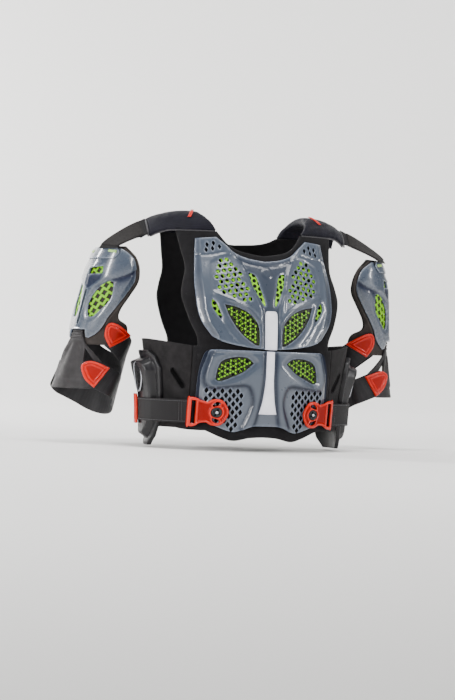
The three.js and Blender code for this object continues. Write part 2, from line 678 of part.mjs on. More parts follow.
function sidePadPoint(across, down, out) {
  const spread = SIDE_PAD_SPREAD * tableLine(SIDE_PAD_ROWS, 'down', 'spread', down);
  return torsoPoint(SIDE_PAD_ANGLE + across * spread, -SIDE_PAD_TOP - down * SIDE_PAD_HEIGHT, out);
}

// Columns and rows of the side guard's grid, closest where its profile bends
const SIDE_PAD_COLUMNS = [-1, -0.82, -0.74, -0.4, 0, 0.4, 0.74, 0.82, 1];
const SIDE_PAD_LINES = [0, 0.06, 0.12, 0.25, 0.45, 0.6, 0.76, 0.9, 0.95, 1];

const VENT_DOWN = 0.28;
const VENT_POCKET = padFace(VENT_DOWN) - SIDE_VENT_DEPTH;

function sideVentPrism(width, height, from, to) {
  const outline = [[0.5, 0.32], [0.5, -0.1], [0.1, -0.5], [-0.5, -0.28], [-0.5, 0.3], [0, 0.5]];
  const points = outline.map(([across, up]) => new THREE.Vector2(across * width, up * height));
  const prism = new THREE.ExtrudeGeometry(new THREE.Shape(points), { depth: to - from, bevelEnabled: false });
  prism.translate(0, 0, from);
  prism.rotateX(Math.PI / 2);
  prism.rotateZ(degToRad(SIDE_VENT_ANGLE));
  const face = torsoPoint(SIDE_VENT_ANGLE, -SIDE_PAD_TOP - VENT_DOWN * SIDE_PAD_HEIGHT, 0);
  prism.translate(face.x, face.y, face.z);
  return toSolid(prism);
}

function sidePad() {
  const block = bentBlock(SIDE_PAD_COLUMNS.length - 1, SIDE_PAD_LINES.length - 1, (u, v, through) => {
    const across = SIDE_PAD_COLUMNS[Math.round(u * (SIDE_PAD_COLUMNS.length - 1))];
    const down = SIDE_PAD_LINES[Math.round((1 - v) * (SIDE_PAD_LINES.length - 1))];
    const out = through > 0.5 ? sidePadRise(Math.abs(across), down) : PAD_SEAT;
    return sidePadPoint(across, down, out);
  });
  const pocket = sideVentPrism(SIDE_VENT_WIDTH, SIDE_VENT_HEIGHT, VENT_POCKET, 2 * padFace(VENT_DOWN));
  return block.subtract(pocket);
}

function sideVent() {
  const floor = VENT_POCKET + GAP;
  const [width, height] = [SIDE_VENT_WIDTH - 2 * GAP, SIDE_VENT_HEIGHT - 2 * GAP];
  return sideVentPrism(width, height, floor, floor + VENT_LINER + GAP);
}

const STRAP_SEAT = padFace((WAIST_STRAP_DROP - SIDE_PAD_TOP) / SIDE_PAD_HEIGHT) + 2 * GAP;

// Webbing over the side guard's middle: flat where it starts on the front or back, then up over the guard
const STRAP_STEPS = [0, 0, 0.5, 1, 1, 1, 1];

function waistStrap(side, startX, flatX, startSeat) {
  const z0 = -WAIST_STRAP_DROP;
  const overPad = SIDE_PAD_ANGLE + side * SIDE_PAD_SPREAD * 0.84;
  const start = torsoAngle(side, startX, z0, startSeat);
  const flat = torsoAngle(side, flatX, z0, startSeat);
  const end = SIDE_PAD_ANGLE + side * 1.5;
  const overMiddle = [0.33, 0.66, 1].map((share) => lerp(overPad, end, share));
  const turns = [start, flat, (flat + overPad) / 2, overPad, ...overMiddle];
  return bentBlock(turns.length - 1, 1, (across, along, through) => {
    const column = Math.round(across * (turns.length - 1));
    const z = z0 + (along - 0.5) * WAIST_STRAP_WIDTH;
    return torsoPoint(turns[column], z, lerp(startSeat, STRAP_SEAT, STRAP_STEPS[column]) + through * WEBBING);
  });
}

function sideClip() {
  const seat = STRAP_SEAT + GAP + WEBBING;
  const spread = THREE.MathUtils.radToDeg(CLIP_LENGTH / 2 / (TORSO_HALF_WIDTH + seat));
  const frame = bentBlock(2, 1, (across, along, through) => {
    const angle = SIDE_PAD_ANGLE + (2 * across - 1) * spread;
    const z = -WAIST_STRAP_DROP + (along - 0.5) * CLIP_HEIGHT;
    return torsoPoint(angle, z, seat + through * CLIP);
  });
  const middle = torsoPoint(SIDE_PAD_ANGLE, -WAIST_STRAP_DROP, seat);
  const slot = new THREE.BoxGeometry(4 * CLIP, CLIP_LENGTH * 0.25, WAIST_STRAP_WIDTH);
  const slots = [-1, 1].map((way) =>
    toSolid(slot.clone().translate(middle.x, middle.y + way * CLIP_LENGTH * 0.25, middle.z)),
  );
  return frame.subtract(slots[0]).subtract(slots[1]);
}

const BUCKLE_SEAT = SHELL_FACE + GAP;
const BUCKLE_END = BUCKLE_HUB_X + 0.69 * BUCKLE_LENGTH;

// Points on the buckle: across from the hub towards the flank, up from its middle line
function bucklePoint(across, up) {
  return new THREE.Vector2(BUCKLE_HUB_X + across * BUCKLE_LENGTH, -WAIST_STRAP_DROP + up * BUCKLE_HEIGHT);
}

function buckleHole(points) {
  return frontPrism(new THREE.Shape(points.map(([across, up]) => bucklePoint(across, up))), -1);
}

function buckle() {
  const outline = [
    [[0.69, 0.5], [0.69, -0.5]],
    [[0.69, -0.5], [0.55, -0.5]],
    [[0.55, -0.5], [0.36, -0.36], [0.22, -0.36]],
    [[0.22, -0.36], [0.06, -0.46], [-0.16, -0.4], [-0.31, 0], [-0.16, 0.4], [0.06, 0.46], [0.22, 0.36]],
    [[0.22, 0.36], [0.36, 0.4], [0.55, 0.5]],
    [[0.55, 0.5], [0.69, 0.5]],
  ];
  const shape = new THREE.Shape(runPoints(outline, bucklePoint));
  const reach = BUCKLE_HUB_X + BUCKLE_LENGTH;
  const low = WAIST_STRAP_DROP + BUCKLE_HEIGHT;
  const sheet = torsoSheet(-1, reach, low - 2 * BUCKLE_HEIGHT, low, BUCKLE_SEAT, BUCKLE_SEAT + BUCKLE);
  const halfStrap = (WAIST_STRAP_WIDTH / 2 + 1) / BUCKLE_HEIGHT;
  const slot = [[0.5, halfStrap], [0.62, halfStrap], [0.62, -halfStrap], [0.5, -halfStrap]];
  const ear = [[-0.05, 0.24], [0.1, 0.2], [0.05, 0.36], [-0.08, 0.33]];
  const lowEar = ear.map(([across, up]) => [across, -up]);
  const hubHole = frontPrism(hubShape(HUB_RADIUS + GAP), -1);
  return [slot, ear, lowEar].reduce(
    (rest, points) => rest.subtract(buckleHole(points)),
    sheet.intersect(frontPrism(shape, -1)).subtract(hubHole),
  );
}

function hubShape(radius) {
  const circle = new THREE.Shape();
  circle.absarc(BUCKLE_HUB_X, -WAIST_STRAP_DROP, radius, 0, 2 * Math.PI);
  return new THREE.Shape(circle.getPoints(4).slice(0, -1));
}

function buckleHub() {
  const low = WAIST_STRAP_DROP + BUCKLE_HEIGHT;
  const reach = BUCKLE_HUB_X + BUCKLE_LENGTH;
  const sheet = torsoSheet(-1, reach, low - 2 * BUCKLE_HEIGHT, low, BUCKLE_SEAT, BUCKLE_SEAT + HUB_HEIGHT);
  return sheet.intersect(frontPrism(hubShape(HUB_RADIUS), -1));
}

// Over the shoulder: an arch from the front seam to the back seam. Turn runs from -90 in front to 90 behind.
function shoulderPoint(x, turn, out) {
  const seam = -SEAM_DROP;
  const front = torsoDepth(-1, x, seam, 0);
  const back = torsoDepth(1, x, seam, 0);
  const ledge = PADDING_HALF_WIDTH + 2;
  const beyond = Math.max((x - ledge) / (SHOULDER_HALF_WIDTH - ledge), 0);
  const level = NECK_HALF_WIDTH + SHOULDER_FLAT;
  const slope = Math.max((x - level) / (SHOULDER_HALF_WIDTH - level), 0);
  const rise = SHOULDER_RISE - SHOULDER_FALL * slope * slope;
  const sweep = degToRad(turn);
  const droop = SHOULDER_DROOP * beyond * beyond * Math.sin(sweep) ** 2;
  return new THREE.Vector3(
    x,
    (front + back) / 2 + ((back - front) / 2 + out) * Math.sin(sweep),
    seam + GAP + (rise + out) * Math.cos(sweep) - droop,
  );
}

// Columns of the shoulder pad from its neck edge outwards; one stands just past the padding's armhole
const SHOULDER_COLUMNS = [0, 0.2, 0.4, 0.64, 0.82, 1];

function shoulderPad() {
  return bentBlock(SHOULDER_COLUMNS.length - 1, 10, (u, along, through) => {
    const across = SHOULDER_COLUMNS[Math.round(u * (SHOULDER_COLUMNS.length - 1))];
    const inner = NECK_HALF_WIDTH + SHOULDER_OPENING * Math.sin(Math.PI * along);
    const x = lerp(inner, SHOULDER_HALF_WIDTH, across);
    return shoulderPoint(x, lerp(90, -90, along), lerp(-PADDING, SHOULDER_PAD - PADDING, through));
  });
}

const PAD_TOP = SHOULDER_PAD - PADDING;

// Small pull tab lying on the front of the shoulder pad
function braceTab() {
  const x = lerp(NECK_HALF_WIDTH, SHOULDER_HALF_WIDTH, 0.36);
  const tilt = 0.45;
  const degreesPerMm = 1.23;
  return bentBlock(1, 3, (across, along, through) => {
    const aside = (across - 0.5) * BRACE_TAB_WIDTH + (0.5 - along) * BRACE_TAB_LENGTH * tilt;
    const turn = -38 - (0.5 - along) * BRACE_TAB_LENGTH * degreesPerMm;
    return shoulderPoint(x + aside, turn, PAD_TOP + 2 * GAP + through * WEBBING);
  });
}

const ARM_LINER_SEAT = ARM_PADDING + ARM_GAP;
const ARM_SHELL_SEAT = ARM_LINER_SEAT + VENT_LINER + ARM_GAP;
const ARM_SHELL_FACE = ARM_SHELL_SEAT + SHELL;
const CAP_SEAT = ARM_SHELL_FACE + ARM_GAP;

// Webbing from the front of the shoulder pad's outer edge down onto the cap of the arm guard
function shoulderLink() {
  const padEdge = (turn) => shoulderPoint(SHOULDER_HALF_WIDTH, turn, PAD_TOP - LINK);
  const start = padEdge(LINK_PAD_TURN).setX(SHOULDER_HALF_WIDTH + GAP);
  const startWay = padEdge(LINK_PAD_TURN - 10).sub(padEdge(LINK_PAD_TURN + 10)).normalize();
  const capMiddle = -ARM_CAP_TOP - 0.35 * ARM_CAP_HEIGHT;
  const last = armPoint(LINK_ARM_ANGLE, capMiddle, CAP_SEAT + CAP + 1.2 * ARM_GAP);
  const turn = degToRad(SPINE_TURN + LINK_ARM_ANGLE);
  const endWay = new THREE.Vector3(-Math.sin(turn), -Math.cos(turn), 0);
  const fall = new THREE.Vector3(0.5, 0, -1).normalize();
  const path = new THREE.CubicBezierCurve3(
    start,
    start.clone().lerp(last, 0.33).add(new THREE.Vector3(0, 0, 1.3 * LINK)),
    last.clone().addScaledVector(fall, -0.3 * (start.z - last.z)),
    last,
  );
  return bentBlock(2, 5, (across, along, through) => {
    const forward = path.getTangent(1 - along);
    const wide = startWay.clone().lerp(endWay, 1 - along).normalize();
    const up = wide.clone().cross(forward).normalize();
    if (up.z < 0) up.negate();
    const middle = path.getPoint(1 - along);
    return middle.addScaledVector(wide, (across - 0.5) * LINK_WIDTH).addScaledVector(up, through * LINK);
  });
}

// A panel of the arm guard whose rows set how far it spreads round the arm
function armPanel(rows, top, height, cells, level) {
  return bentBlock(cells, rows.length - 1, (across, along, through) => {
    const row = rows[Math.round((1 - along) * (rows.length - 1))];
    const z = -top - row.down * height;
    const angle = (2 * across - 1) * row.spread;
    return armPoint(angle, z, level(angle, z, through));
  });
}

// A prism standing on the arm, cut to a shape of angles and heights, about the direction `middle`
function armPrism(points, middle) {
  const flat = points.map(
    ([angle, z]) => new THREE.Vector2(Math.sin(degToRad(angle - middle)) * (ARM_RADIUS + ARM_SHELL_SEAT), z),
  );
  const depth = 2 * ARM_RADIUS;
  const prism = new THREE.ExtrudeGeometry(new THREE.Shape(flat), { depth, bevelEnabled: false });
  const position = prism.getAttribute('position');
  const turn = degToRad(SPINE_TURN + middle);
  const outward = new THREE.Vector3(Math.cos(turn), -Math.sin(turn), 0);
  const sideways = new THREE.Vector3(-Math.sin(turn), -Math.cos(turn), 0);
  for (let i = 0; i < position.count; i += 1) {
    const p = armCentre(position.getY(i));
    p.addScaledVector(sideways, position.getX(i)).addScaledVector(outward, position.getZ(i));
    position.setXYZ(i, p.x, p.y, p.z);
  }
  return toSolid(prism);
}

function armShapePoints(runs, top, height) {
  const place = (angle, down) => new THREE.Vector2(angle, -top - down * height);
  return runPoints(runs, place).map((p) => [p.x, p.y]);
}

// The ridge down the guard's spine, fading out under the cap
function armRidge(angle, z) {
  const below = Math.min(Math.max((-z - ARM_CAP_TOP - 1.4 * ARM_CAP_HEIGHT) / 12, 0), 1);
  return ARM_RIDGE * Math.max(1 - Math.abs(angle) / 26, 0) * below;
}

function armShell() {
  const panel = armPanel(ARM_SHELL_ROWS, ARM_SHELL_TOP, ARM_SHELL_HEIGHT, 10, (angle, z, through) =>
    lerp(ARM_SHELL_SEAT, ARM_SHELL_FACE + armRidge(angle, z), through),
  );
  const points = (runs) => armShapePoints(runs, ARM_SHELL_TOP, ARM_SHELL_HEIGHT);
  const back = (list) => list.map(([angle, z]) => [-angle, z]);
  const leaf = points(ARM_LEAF_VENT);
  const bottom = -ARM_SHELL_TOP - ARM_SHELL_HEIGHT;
  const spread = FLAP_ROWS[0].spread + 6;
  const [top, wide] = [-FLAP_TOP + GAP, spread + 8];
  const notch = [[spread, top], [wide, bottom - 1], [-wide, bottom - 1], [-spread, top]];
  return panel
    .subtract(armPrism(leaf, LEAF_VENT_ANGLE))
    .subtract(armPrism(back(leaf), -LEAF_VENT_ANGLE))
    .subtract(armPrism(points(ARM_TOP_VENT), 6))
    .subtract(armPrism(points(ARM_SPINE_SLOT), 0))
    .subtract(armPrism(notch, 0));
}

function armPadding() {
  return armPanel(ARM_PADDING_ROWS, ARM_PADDING_TOP, ARM_PADDING_HEIGHT, 10, (angle, z, through) =>
    lerp(0, ARM_PADDING, through),
  );
}

// Bright sheet between the padding and the shell, seen through the vents
function armLiner() {
  const rows = ARM_SHELL_ROWS.slice(2, 9).map((row) => ({ down: row.down, spread: row.spread - 10 }));
  return armPanel(rows, ARM_SHELL_TOP, ARM_SHELL_HEIGHT, 10, (angle, z, through) =>
    ARM_LINER_SEAT + through * VENT_LINER,
  );
}

function armCap() {
  const rows = [{ down: 0, spread: 0.8 }, { down: 0.45, spread: 1 }, { down: 1, spread: 0.86 }];
  const spreads = rows.map((row) => ({ down: row.down, spread: row.spread * ARM_CAP_SPREAD }));
  return armPanel(spreads, ARM_CAP_TOP + ARM_BORDER, ARM_CAP_HEIGHT, 5, (angle, z, through) =>
    CAP_SEAT + through * CAP,
  );
}

// How far the lower flap stands off the arm: seated on the padding, then flaring towards its hem
function flapSeat(z) {
  const below = Math.max((-z - ARM_PADDING_TOP - ARM_PADDING_HEIGHT) / (FLAP_HEIGHT + FLAP_TOP), 0);
  return ARM_LINER_SEAT + FLAP_FLARE * below * 4;
}

function armFlap() {
  const level = (angle, z, through) => flapSeat(z) + through * FLAP;
  const panel = armPanel(FLAP_ROWS, FLAP_TOP, FLAP_HEIGHT, 10, level);
  const front = armShapePoints(FLAP_WINDOW, FLAP_TOP, FLAP_HEIGHT);
  const back = front.map(([angle, z]) => [-angle, z]);
  return panel.subtract(armPrism(front, FLAP_WINDOW_ANGLE)).subtract(armPrism(back, -FLAP_WINDOW_ANGLE));
}

function anchor(drop, shape, seat) {
  const angles = shape.points.map((p) => p[0]);
  const points = shape.points.map(([angle, up]) => [angle, up * BAND_WIDTH - drop]);
  const heights = points.map((p) => p[1]);
  const [low, high] = [Math.min(...heights) - 2, Math.max(...heights) + 2];
  const sheet = bentBlock(5, 2, (across, along, through) => {
    const z = lerp(low, high, along);
    const angle = lerp(Math.max(...angles) + 4, Math.min(...angles) - 4, across);
    return armPoint(angle, z, seat(z) + WEBBING + 2 * GAP + through * ANCHOR);
  });
  return sheet.intersect(armPrism(points, shape.angle));
}

// How proud each band starts: on the padding's edge, and on the flap
const BAND_SEATS = {
  upper: () => ARM_PADDING + ARM_GAP,
  lower: (z) => flapSeat(z) + FLAP + 3.6 * GAP,
};

// A band from its front anchor round the inside of the arm to the back of the guard
function armBand({ drop, dip, upperStart, lowerStart }, seat) {
  const slope = (dip * BAND_WIDTH) / (ARM_RADIUS + WEBBING);
  const halfHeight = (BAND_WIDTH / 2) * Math.hypot(1, slope);
  return bentBlock(14, 3, (across, along, through) => {
    const start = lerp(lowerStart, upperStart, along);
    const angle = lerp(start, 2 * 180 - start, across);
    const z = -drop + dip * BAND_WIDTH * Math.cos(degToRad(angle)) + (2 * along - 1) * halfHeight;
    const near = (Math.min(across, 1 - across) - 0.13) / 0.13;
    return armPoint(angle, z, lerp(seat(z), GAP, Math.min(Math.max(near, 0), 1)) + through * WEBBING);
  });
}

const COLOURS = {
  shell: 0x5c6879,
  foam: 0x2b2a2b,
  textile: 0x3a3839,
  navy: 0x23222d,
  bright: 0xb4e61e,
  pale: 0xd6d6de,
  red: 0xff4226,
  flap: 0x4a484a,
};
const FINISHES = {
  shell: { roughness: 0.25, metalness: 0 },
  foam: { roughness: 0.85, metalness: 0 },
  textile: { roughness: 0.95, metalness: 0 },
  navy: { roughness: 0.9, metalness: 0 },
  bright: { roughness: 0.6, metalness: 0 },
  pale: { roughness: 0.3, metalness: 0 },
  red: { roughness: 0.4, metalness: 0 },
  flap: { roughness: 0.6, metalness: 0 },
};

function mesh(name, finish, solid) {
  const material = new THREE.MeshStandardMaterial({ color: COLOURS[finish], ...FINISHES[finish] });
  const made = new THREE.Mesh(toGeometry(solid), material);
  made.name = name;
  return made;
}

const chestLiner = () =>
  torsoPanel(-1, CHEST_LINER_OUTLINE, ...CHEST_SHELL_SIZE, GAP, GAP + VENT_LINER);
const bellyLiner = () =>
  torsoPanel(-1, BELLY_LINER_OUTLINE, ...BELLY_SHELL_SIZE, GAP, GAP + VENT_LINER);
const CHEST_INLAY_TOP = CHEST_SHELL_TOP + CHEST_SHELL_HEIGHT - INLAY_HEIGHT - 1;

const middlePieces = [
  mesh('chest_padding', 'foam', padding(-1, FRONT_NECK_DROP, FRONT_HEM)),
  mesh('chest_vent_liner', 'bright', chestLiner()),
  mesh('belly_vent_liner', 'bright', bellyLiner()),
  mesh('chest_shell', 'shell', chestShell()),
  mesh('belly_shell', 'shell', bellyShell()),
  mesh('chest_inlay', 'pale', inlay(CHEST_INLAY_TOP, INLAY_HEIGHT, CHEST_INLAY_ROWS)),
  mesh('belly_inlay', 'pale', inlay(BELLY_SHELL_TOP + 2, BELLY_INLAY_HEIGHT, BELLY_INLAY_ROWS)),
  mesh('back_padding', 'foam', padding(1, BACK_NECK_DROP, BACK_HEM)),
  mesh('back_shell', 'shell', backShell()),
  mesh('lumbar_shell', 'shell', lumbarShell()),
];

// Where each strap's flat start lies: on the belly shell's edge in front, on the padding behind
const waistStart = [BELLY_SHELL_HALF_WIDTH + 2, BUCKLE_END + 2, SHELL_SEAT + 2 * GAP];
const backStart = [LUMBAR_SHELL_HALF_WIDTH - 3, LUMBAR_SHELL_HALF_WIDTH + 5, GAP];

const sidePieces = [
  ['side_wrap', 'textile', sideWrap()],
  ['side_pad', 'foam', sidePad()],
  ['side_vent', 'pale', sideVent()],
  ['waist_strap', 'textile', waistStrap(-1, ...waistStart)],
  ['back_strap', 'textile', waistStrap(1, ...backStart)],
  ['side_clip', 'red', sideClip()],
  ['buckle', 'red', buckle()],
  ['buckle_hub', 'foam', buckleHub()],
  ['shoulder_pad', 'navy', shoulderPad()],
  ['brace_tab', 'red', braceTab()],
  ['shoulder_link', 'textile', shoulderLink()],
  ['arm_padding', 'foam', armPadding()],
  ['arm_vent_liner', 'bright', armLiner()],
  ['arm_shell', 'shell', armShell()],
  ['arm_cap', 'shell', armCap()],
  ['arm_flap', 'flap', armFlap()],
  ['upper_anchor', 'red', anchor(BANDS.upper.drop, ANCHORS.upper, BAND_SEATS.upper)],
  ['lower_anchor', 'red', anchor(BANDS.lower.drop, ANCHORS.lower, BAND_SEATS.lower)],
  ['upper_band', 'textile', armBand(BANDS.upper, BAND_SEATS.upper)],
  ['lower_band', 'textile', armBand(BANDS.lower, BAND_SEATS.lower)],
];

const vest = new THREE.Group();
vest.add(...middlePieces);
const leftSide = new THREE.Group();
const rightSide = new THREE.Group();
rightSide.scale.x = -1;
for (const [name, finish, solid] of sidePieces) {
  leftSide.add(mesh(`${name}_left`, finish, solid));
  rightSide.add(mesh(`${name}_right`, finish, solid));
}
vest.add(leftSide, rightSide);

export default vest;
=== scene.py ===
"""Looks of an off-road roost deflector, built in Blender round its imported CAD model.

Lengths in this script are millimetres, turned into metres where a mesh is made. Z is up, the wearer faces -Y.
"""

import math

import bmesh
import bpy
import numpy as np
from mathutils import Matrix, Vector, kdtree
from mathutils.geometry import delaunay_2d_cdt


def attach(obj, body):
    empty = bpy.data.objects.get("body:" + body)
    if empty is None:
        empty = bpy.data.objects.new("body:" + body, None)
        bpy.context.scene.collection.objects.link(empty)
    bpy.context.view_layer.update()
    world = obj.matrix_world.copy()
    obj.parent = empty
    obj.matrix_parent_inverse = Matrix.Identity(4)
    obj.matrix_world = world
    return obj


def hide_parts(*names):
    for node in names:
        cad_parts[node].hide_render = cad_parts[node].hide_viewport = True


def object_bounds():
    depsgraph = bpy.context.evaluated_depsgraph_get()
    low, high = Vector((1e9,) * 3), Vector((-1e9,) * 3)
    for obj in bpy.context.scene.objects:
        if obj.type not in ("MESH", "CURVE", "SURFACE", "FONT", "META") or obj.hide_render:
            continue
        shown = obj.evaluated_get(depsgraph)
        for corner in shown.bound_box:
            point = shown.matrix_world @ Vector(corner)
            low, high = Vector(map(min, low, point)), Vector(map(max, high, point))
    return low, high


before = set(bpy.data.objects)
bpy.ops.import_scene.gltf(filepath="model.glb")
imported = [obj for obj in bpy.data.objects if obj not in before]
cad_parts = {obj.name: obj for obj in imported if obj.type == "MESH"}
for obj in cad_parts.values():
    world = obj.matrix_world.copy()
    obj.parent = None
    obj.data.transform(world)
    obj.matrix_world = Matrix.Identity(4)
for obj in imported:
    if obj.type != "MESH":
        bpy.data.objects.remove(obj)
cad_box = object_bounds()
MM = 0.001

# Camera, where the photograph was taken from
IMAGE_SIZE = (455, 700)
MM_PER_PIXEL = 1.65
CAMERA_DISTANCE = 3.2
CAMERA_TURN = 19
CAMERA_ROLL = 2.2
AIM_SIDEWAYS = -0.0295
AIM_HEIGHT = -0.2112
SENSOR = 36

# The torso: drop as a share of the vest's length, half width, front, back, and how far the sides are set back
VEST_LENGTH = 360
TORSO_DROPS = [0, 0.07, 0.155, 0.28, 0.41, 0.61, 0.79, 0.89, 1.03]
TORSO_HALF_WIDTHS = [165 * w for w in (1.15, 1.15, 1.14, 1.13, 1.12, 1.06, 1, 0.985, 0.98)]
TORSO_FRONTS = [117 * w for w in (0.42, 0.5, 0.6, 0.795, 0.95, 1, 0.98, 0.94, 0.86)]
TORSO_BACKS = [108 * w for w in (0.6, 0.72, 0.85, 0.96, 1, 0.96, 0.9, 0.9, 0.92)]
TORSO_SETBACKS = [117 * w for w in (0.42, 0.34, 0.25, 0.12, 0.04, 0, 0, 0, 0)]
FLANK_STEP = 2.9  # millimetres round the flank for one degree

# The upper arms and the deltoid that rounds them off
ARM_X, ARM_Y, ARM_DROP = 203, 40, 60
ARM_SPLAY, ARM_SWEEP, ARM_RADIUS = 0.16, 0.25, 46
DELTOID_DROP, DELTOID_HEIGHT, SPINE_TURN = 109, 85, 26
ARM_STEP = 0.96  # millimetres round the arm guard for one degree

# Levels of the layers, proud of the padding
PADDING = 9
SHELL_SEAT, SHELL_FACE, RELIEF = 1.8, 4.8, 2.5
BACK_SEAT = 1
PAD_SEAT, FLANGE_FACE, SIDE_PAD_RISE = -0.8, 5.7, 18
STRAP_SEAT, WEBBING = 15.3, 2
STRAP_DROP, STRAP_WIDTH = 311, 37
ARM_PADDING, ARM_LINER_SEAT, ARM_SHELL_SEAT, ARM_SHELL_FACE = 6, 7, 9, 12

FRONT, BACK = -1, 1


# Curves and tables

def smooth_table(drops, values, at):
    """Cubic pieces through a table's rows, with slopes that follow their neighbours."""
    x, y = np.array(drops, float), np.array(values, float)
    before = np.maximum(np.arange(len(x)) - 1, 0)
    after = np.minimum(np.arange(len(x)) + 1, len(x) - 1)
    slope = (y[after] - y[before]) / (x[after] - x[before])
    here = np.clip(at, x[0], x[-1])
    i = np.clip(np.searchsorted(x, here, side="left") - 1, 0, len(x) - 2)
    span = x[i + 1] - x[i]
    t = (here - x[i]) / span
    start = (1 + 2 * t) * (1 - t) ** 2 * y[i] + t * (1 - t) ** 2 * span * slope[i]
    end = t * t * (3 - 2 * t) * y[i + 1] + t * t * (t - 1) * span * slope[i + 1]
    return start + end


def smooth_run(knots, step=2.0):
    """A smooth curve through its knots, sampled about every step."""
    p = np.array(knots, float)
    if len(p) == 2:
        count = max(int(np.linalg.norm(p[1] - p[0]) / step), 1)
        return p[0] + (p[1] - p[0]) * np.linspace(0, 1, count + 1)[:, None]
    ends = np.vstack([p[:1], p, p[-1:]])
    pieces = []
    for i in range(len(p) - 1):
        a, b, c, d = ends[i:i + 4]
        t = np.linspace(0, 1, max(int(np.linalg.norm(c - b) / step), 2) + 1)[:-1, None]
        pull = (c - a) / 2, (d - b) / 2
        pieces.append((2 * t**3 - 3 * t**2 + 1) * b + (t**3 - 2 * t**2 + t) * pull[0]
                      + (3 * t**2 - 2 * t**3) * c + (t**3 - t**2) * pull[1])
    return np.vstack(pieces + [p[-1:]])


def smooth_outline(runs, step=2.0):
    """A closed outline from runs that meet at its corners."""
    return np.vstack([smooth_run(run, step)[:-1] for run in runs])


def mirrored_outline(runs, step=2.0):
    """The whole outline from the half on the wearer's left, which starts and ends on the middle line."""
    half = np.vstack([smooth_run(run, step)[:-1] for run in runs] + [np.array(runs[-1][-1:], float)])
    return np.vstack([half, (half * (-1, 1))[::-1][1:-1]])


def both_sides(outlines):
    """Outlines on the wearer's left, and their mirror images."""
    return [*outlines, *[outline * (-1, 1) for outline in outlines]]


def signed_area(loop):
    x, y = loop[:, 0], loop[:, 1]
    return 0.5 * np.sum(x * np.roll(y, -1) - np.roll(x, -1) * y)


def is_inside(points, loop):
    """Which points lie inside a closed loop."""
    inside = np.zeros(len(points), bool)
    x, y = points[:, 0], points[:, 1]
    for a, b in zip(loop, np.roll(loop, -1, 0)):
        if a[1] == b[1]:
            continue
        crosses = (a[1] > y) != (b[1] > y)
        inside ^= crosses & (x < a[0] + (y - a[1]) / (b[1] - a[1]) * (b[0] - a[0]))
    return inside


def distance_to(points, line, closed=True):
    """How far each point is from a line of straight pieces."""
    ends = np.roll(line, -1, 0) if closed else line[1:]
    starts = line if closed else line[:-1]
    nearest = np.full(len(points), 1e9)
    for a, b in zip(starts, ends):
        way = b - a
        t = np.clip((points - a) @ way / max(way @ way, 1e-9), 0, 1)
        nearest = np.minimum(nearest, np.linalg.norm(points - a - t[:, None] * way, axis=1))
    return nearest


def depth_inside(points, loop):
    """How far inside a loop each point lies, below zero outside it."""
    return distance_to(points, loop) * np.where(is_inside(points, loop), 1, -1)


def folded(points):
    """Flat points of both sides, as if all lay on the wearer's left."""
    return np.abs(points) * (1, -1)


def ramp(share):
    """A soft step from 0 to 1."""
    t = np.clip(share, 0, 1)
    return t * t * (3 - 2 * t)


# Surfaces that the layers lie on: each gives points from flat pattern coordinates and a level

def torso_depth(side, x, z, out):
    drop = -z / VEST_LENGTH
    half = smooth_table(TORSO_DROPS, TORSO_HALF_WIDTHS, drop)
    reach = smooth_table(TORSO_DROPS, TORSO_FRONTS if side < 0 else TORSO_BACKS, drop) + out
    across = np.clip(np.abs(x) / (half + out), 0, 1)
    setback = smooth_table(TORSO_DROPS, TORSO_SETBACKS, drop)
    return side * reach * np.sqrt(1 - across**2) + setback * (x / half) ** 2


def on_front(x, z, out):
    return np.stack([x, torso_depth(FRONT, x, z, out), z + 0 * x], 1)


def on_back(x, z, out):
    return np.stack([x, torso_depth(BACK, x, z, out), z + 0 * x], 1)


def on_flank(along, z, out):
    """Round the flank: along is millimetres from the breastbone, 90 degrees being the flank itself."""
    angle = np.radians(along / FLANK_STEP)
    half = smooth_table(TORSO_DROPS, TORSO_HALF_WIDTHS, -z / VEST_LENGTH)
    x = (half + out) * np.sin(angle)
    y = np.where(angle < math.pi / 2, torso_depth(FRONT, x, z, out), torso_depth(BACK, x, z, out))
    return np.stack([x, y, z + 0 * x], 1)


def flank_angle(side, x, z, out):
    """Degrees round the torso where its front or back is x wide."""
    half = float(smooth_table(TORSO_DROPS, TORSO_HALF_WIDTHS, -z / VEST_LENGTH))
    turn = math.degrees(math.asin(x / (half + out)))
    return turn if side < 0 else 180 - turn


def on_arm(along, z, out):
    """Round the arm: along is millimetres forward of the guard's spine."""
    rise = np.clip((z + DELTOID_DROP) / DELTOID_HEIGHT, 0, 0.999)
    radius = ARM_RADIUS * np.sqrt(1 - rise**2) + out
    turn = np.radians(SPINE_TURN + along / ARM_STEP)
    x = ARM_X - ARM_SPLAY * (z + ARM_DROP) + radius * np.cos(turn)
    y = ARM_Y - ARM_SWEEP * (z + ARM_DROP) - radius * np.sin(turn)
    return np.stack([x, y, z + 0 * x], 1)


SHOULDER_OUTER, SHOULDER_NECK, SHOULDER_SEAM = 172, 72, -20


def over_shoulder(x, turn, out):
    """Over the shoulder pad: turn runs from -90 at the front seam to 90 at the back seam."""
    front = torso_depth(FRONT, x, SHOULDER_SEAM, 0)
    back = torso_depth(BACK, x, SHOULDER_SEAM, 0)
    beyond = np.clip((x - 136) / 36, 0, None)
    slope = np.clip((x - 102) / 70, 0, None)
    rise = 32 - 17 * slope**2
    sweep = np.radians(turn)
    y = (front + back) / 2 + ((back - front) / 2 + out) * np.sin(sweep)
    z = SHOULDER_SEAM + 0.4 + (rise + out) * np.cos(sweep) - 14 * beyond**2 * np.sin(sweep) ** 2
    return np.stack([x + 0 * y, y, z], 1)


# Mesh makers

SHARP_ANGLE = 38
EDGE_MARK_REACH = 1.3  # how far the marks along a cut go in from it: wear and painted highlight on the nylon, painted shade on the nets


def new_object(name, data):
    made = bpy.data.objects.new(name, data)
    bpy.context.collection.objects.link(made)
    return made


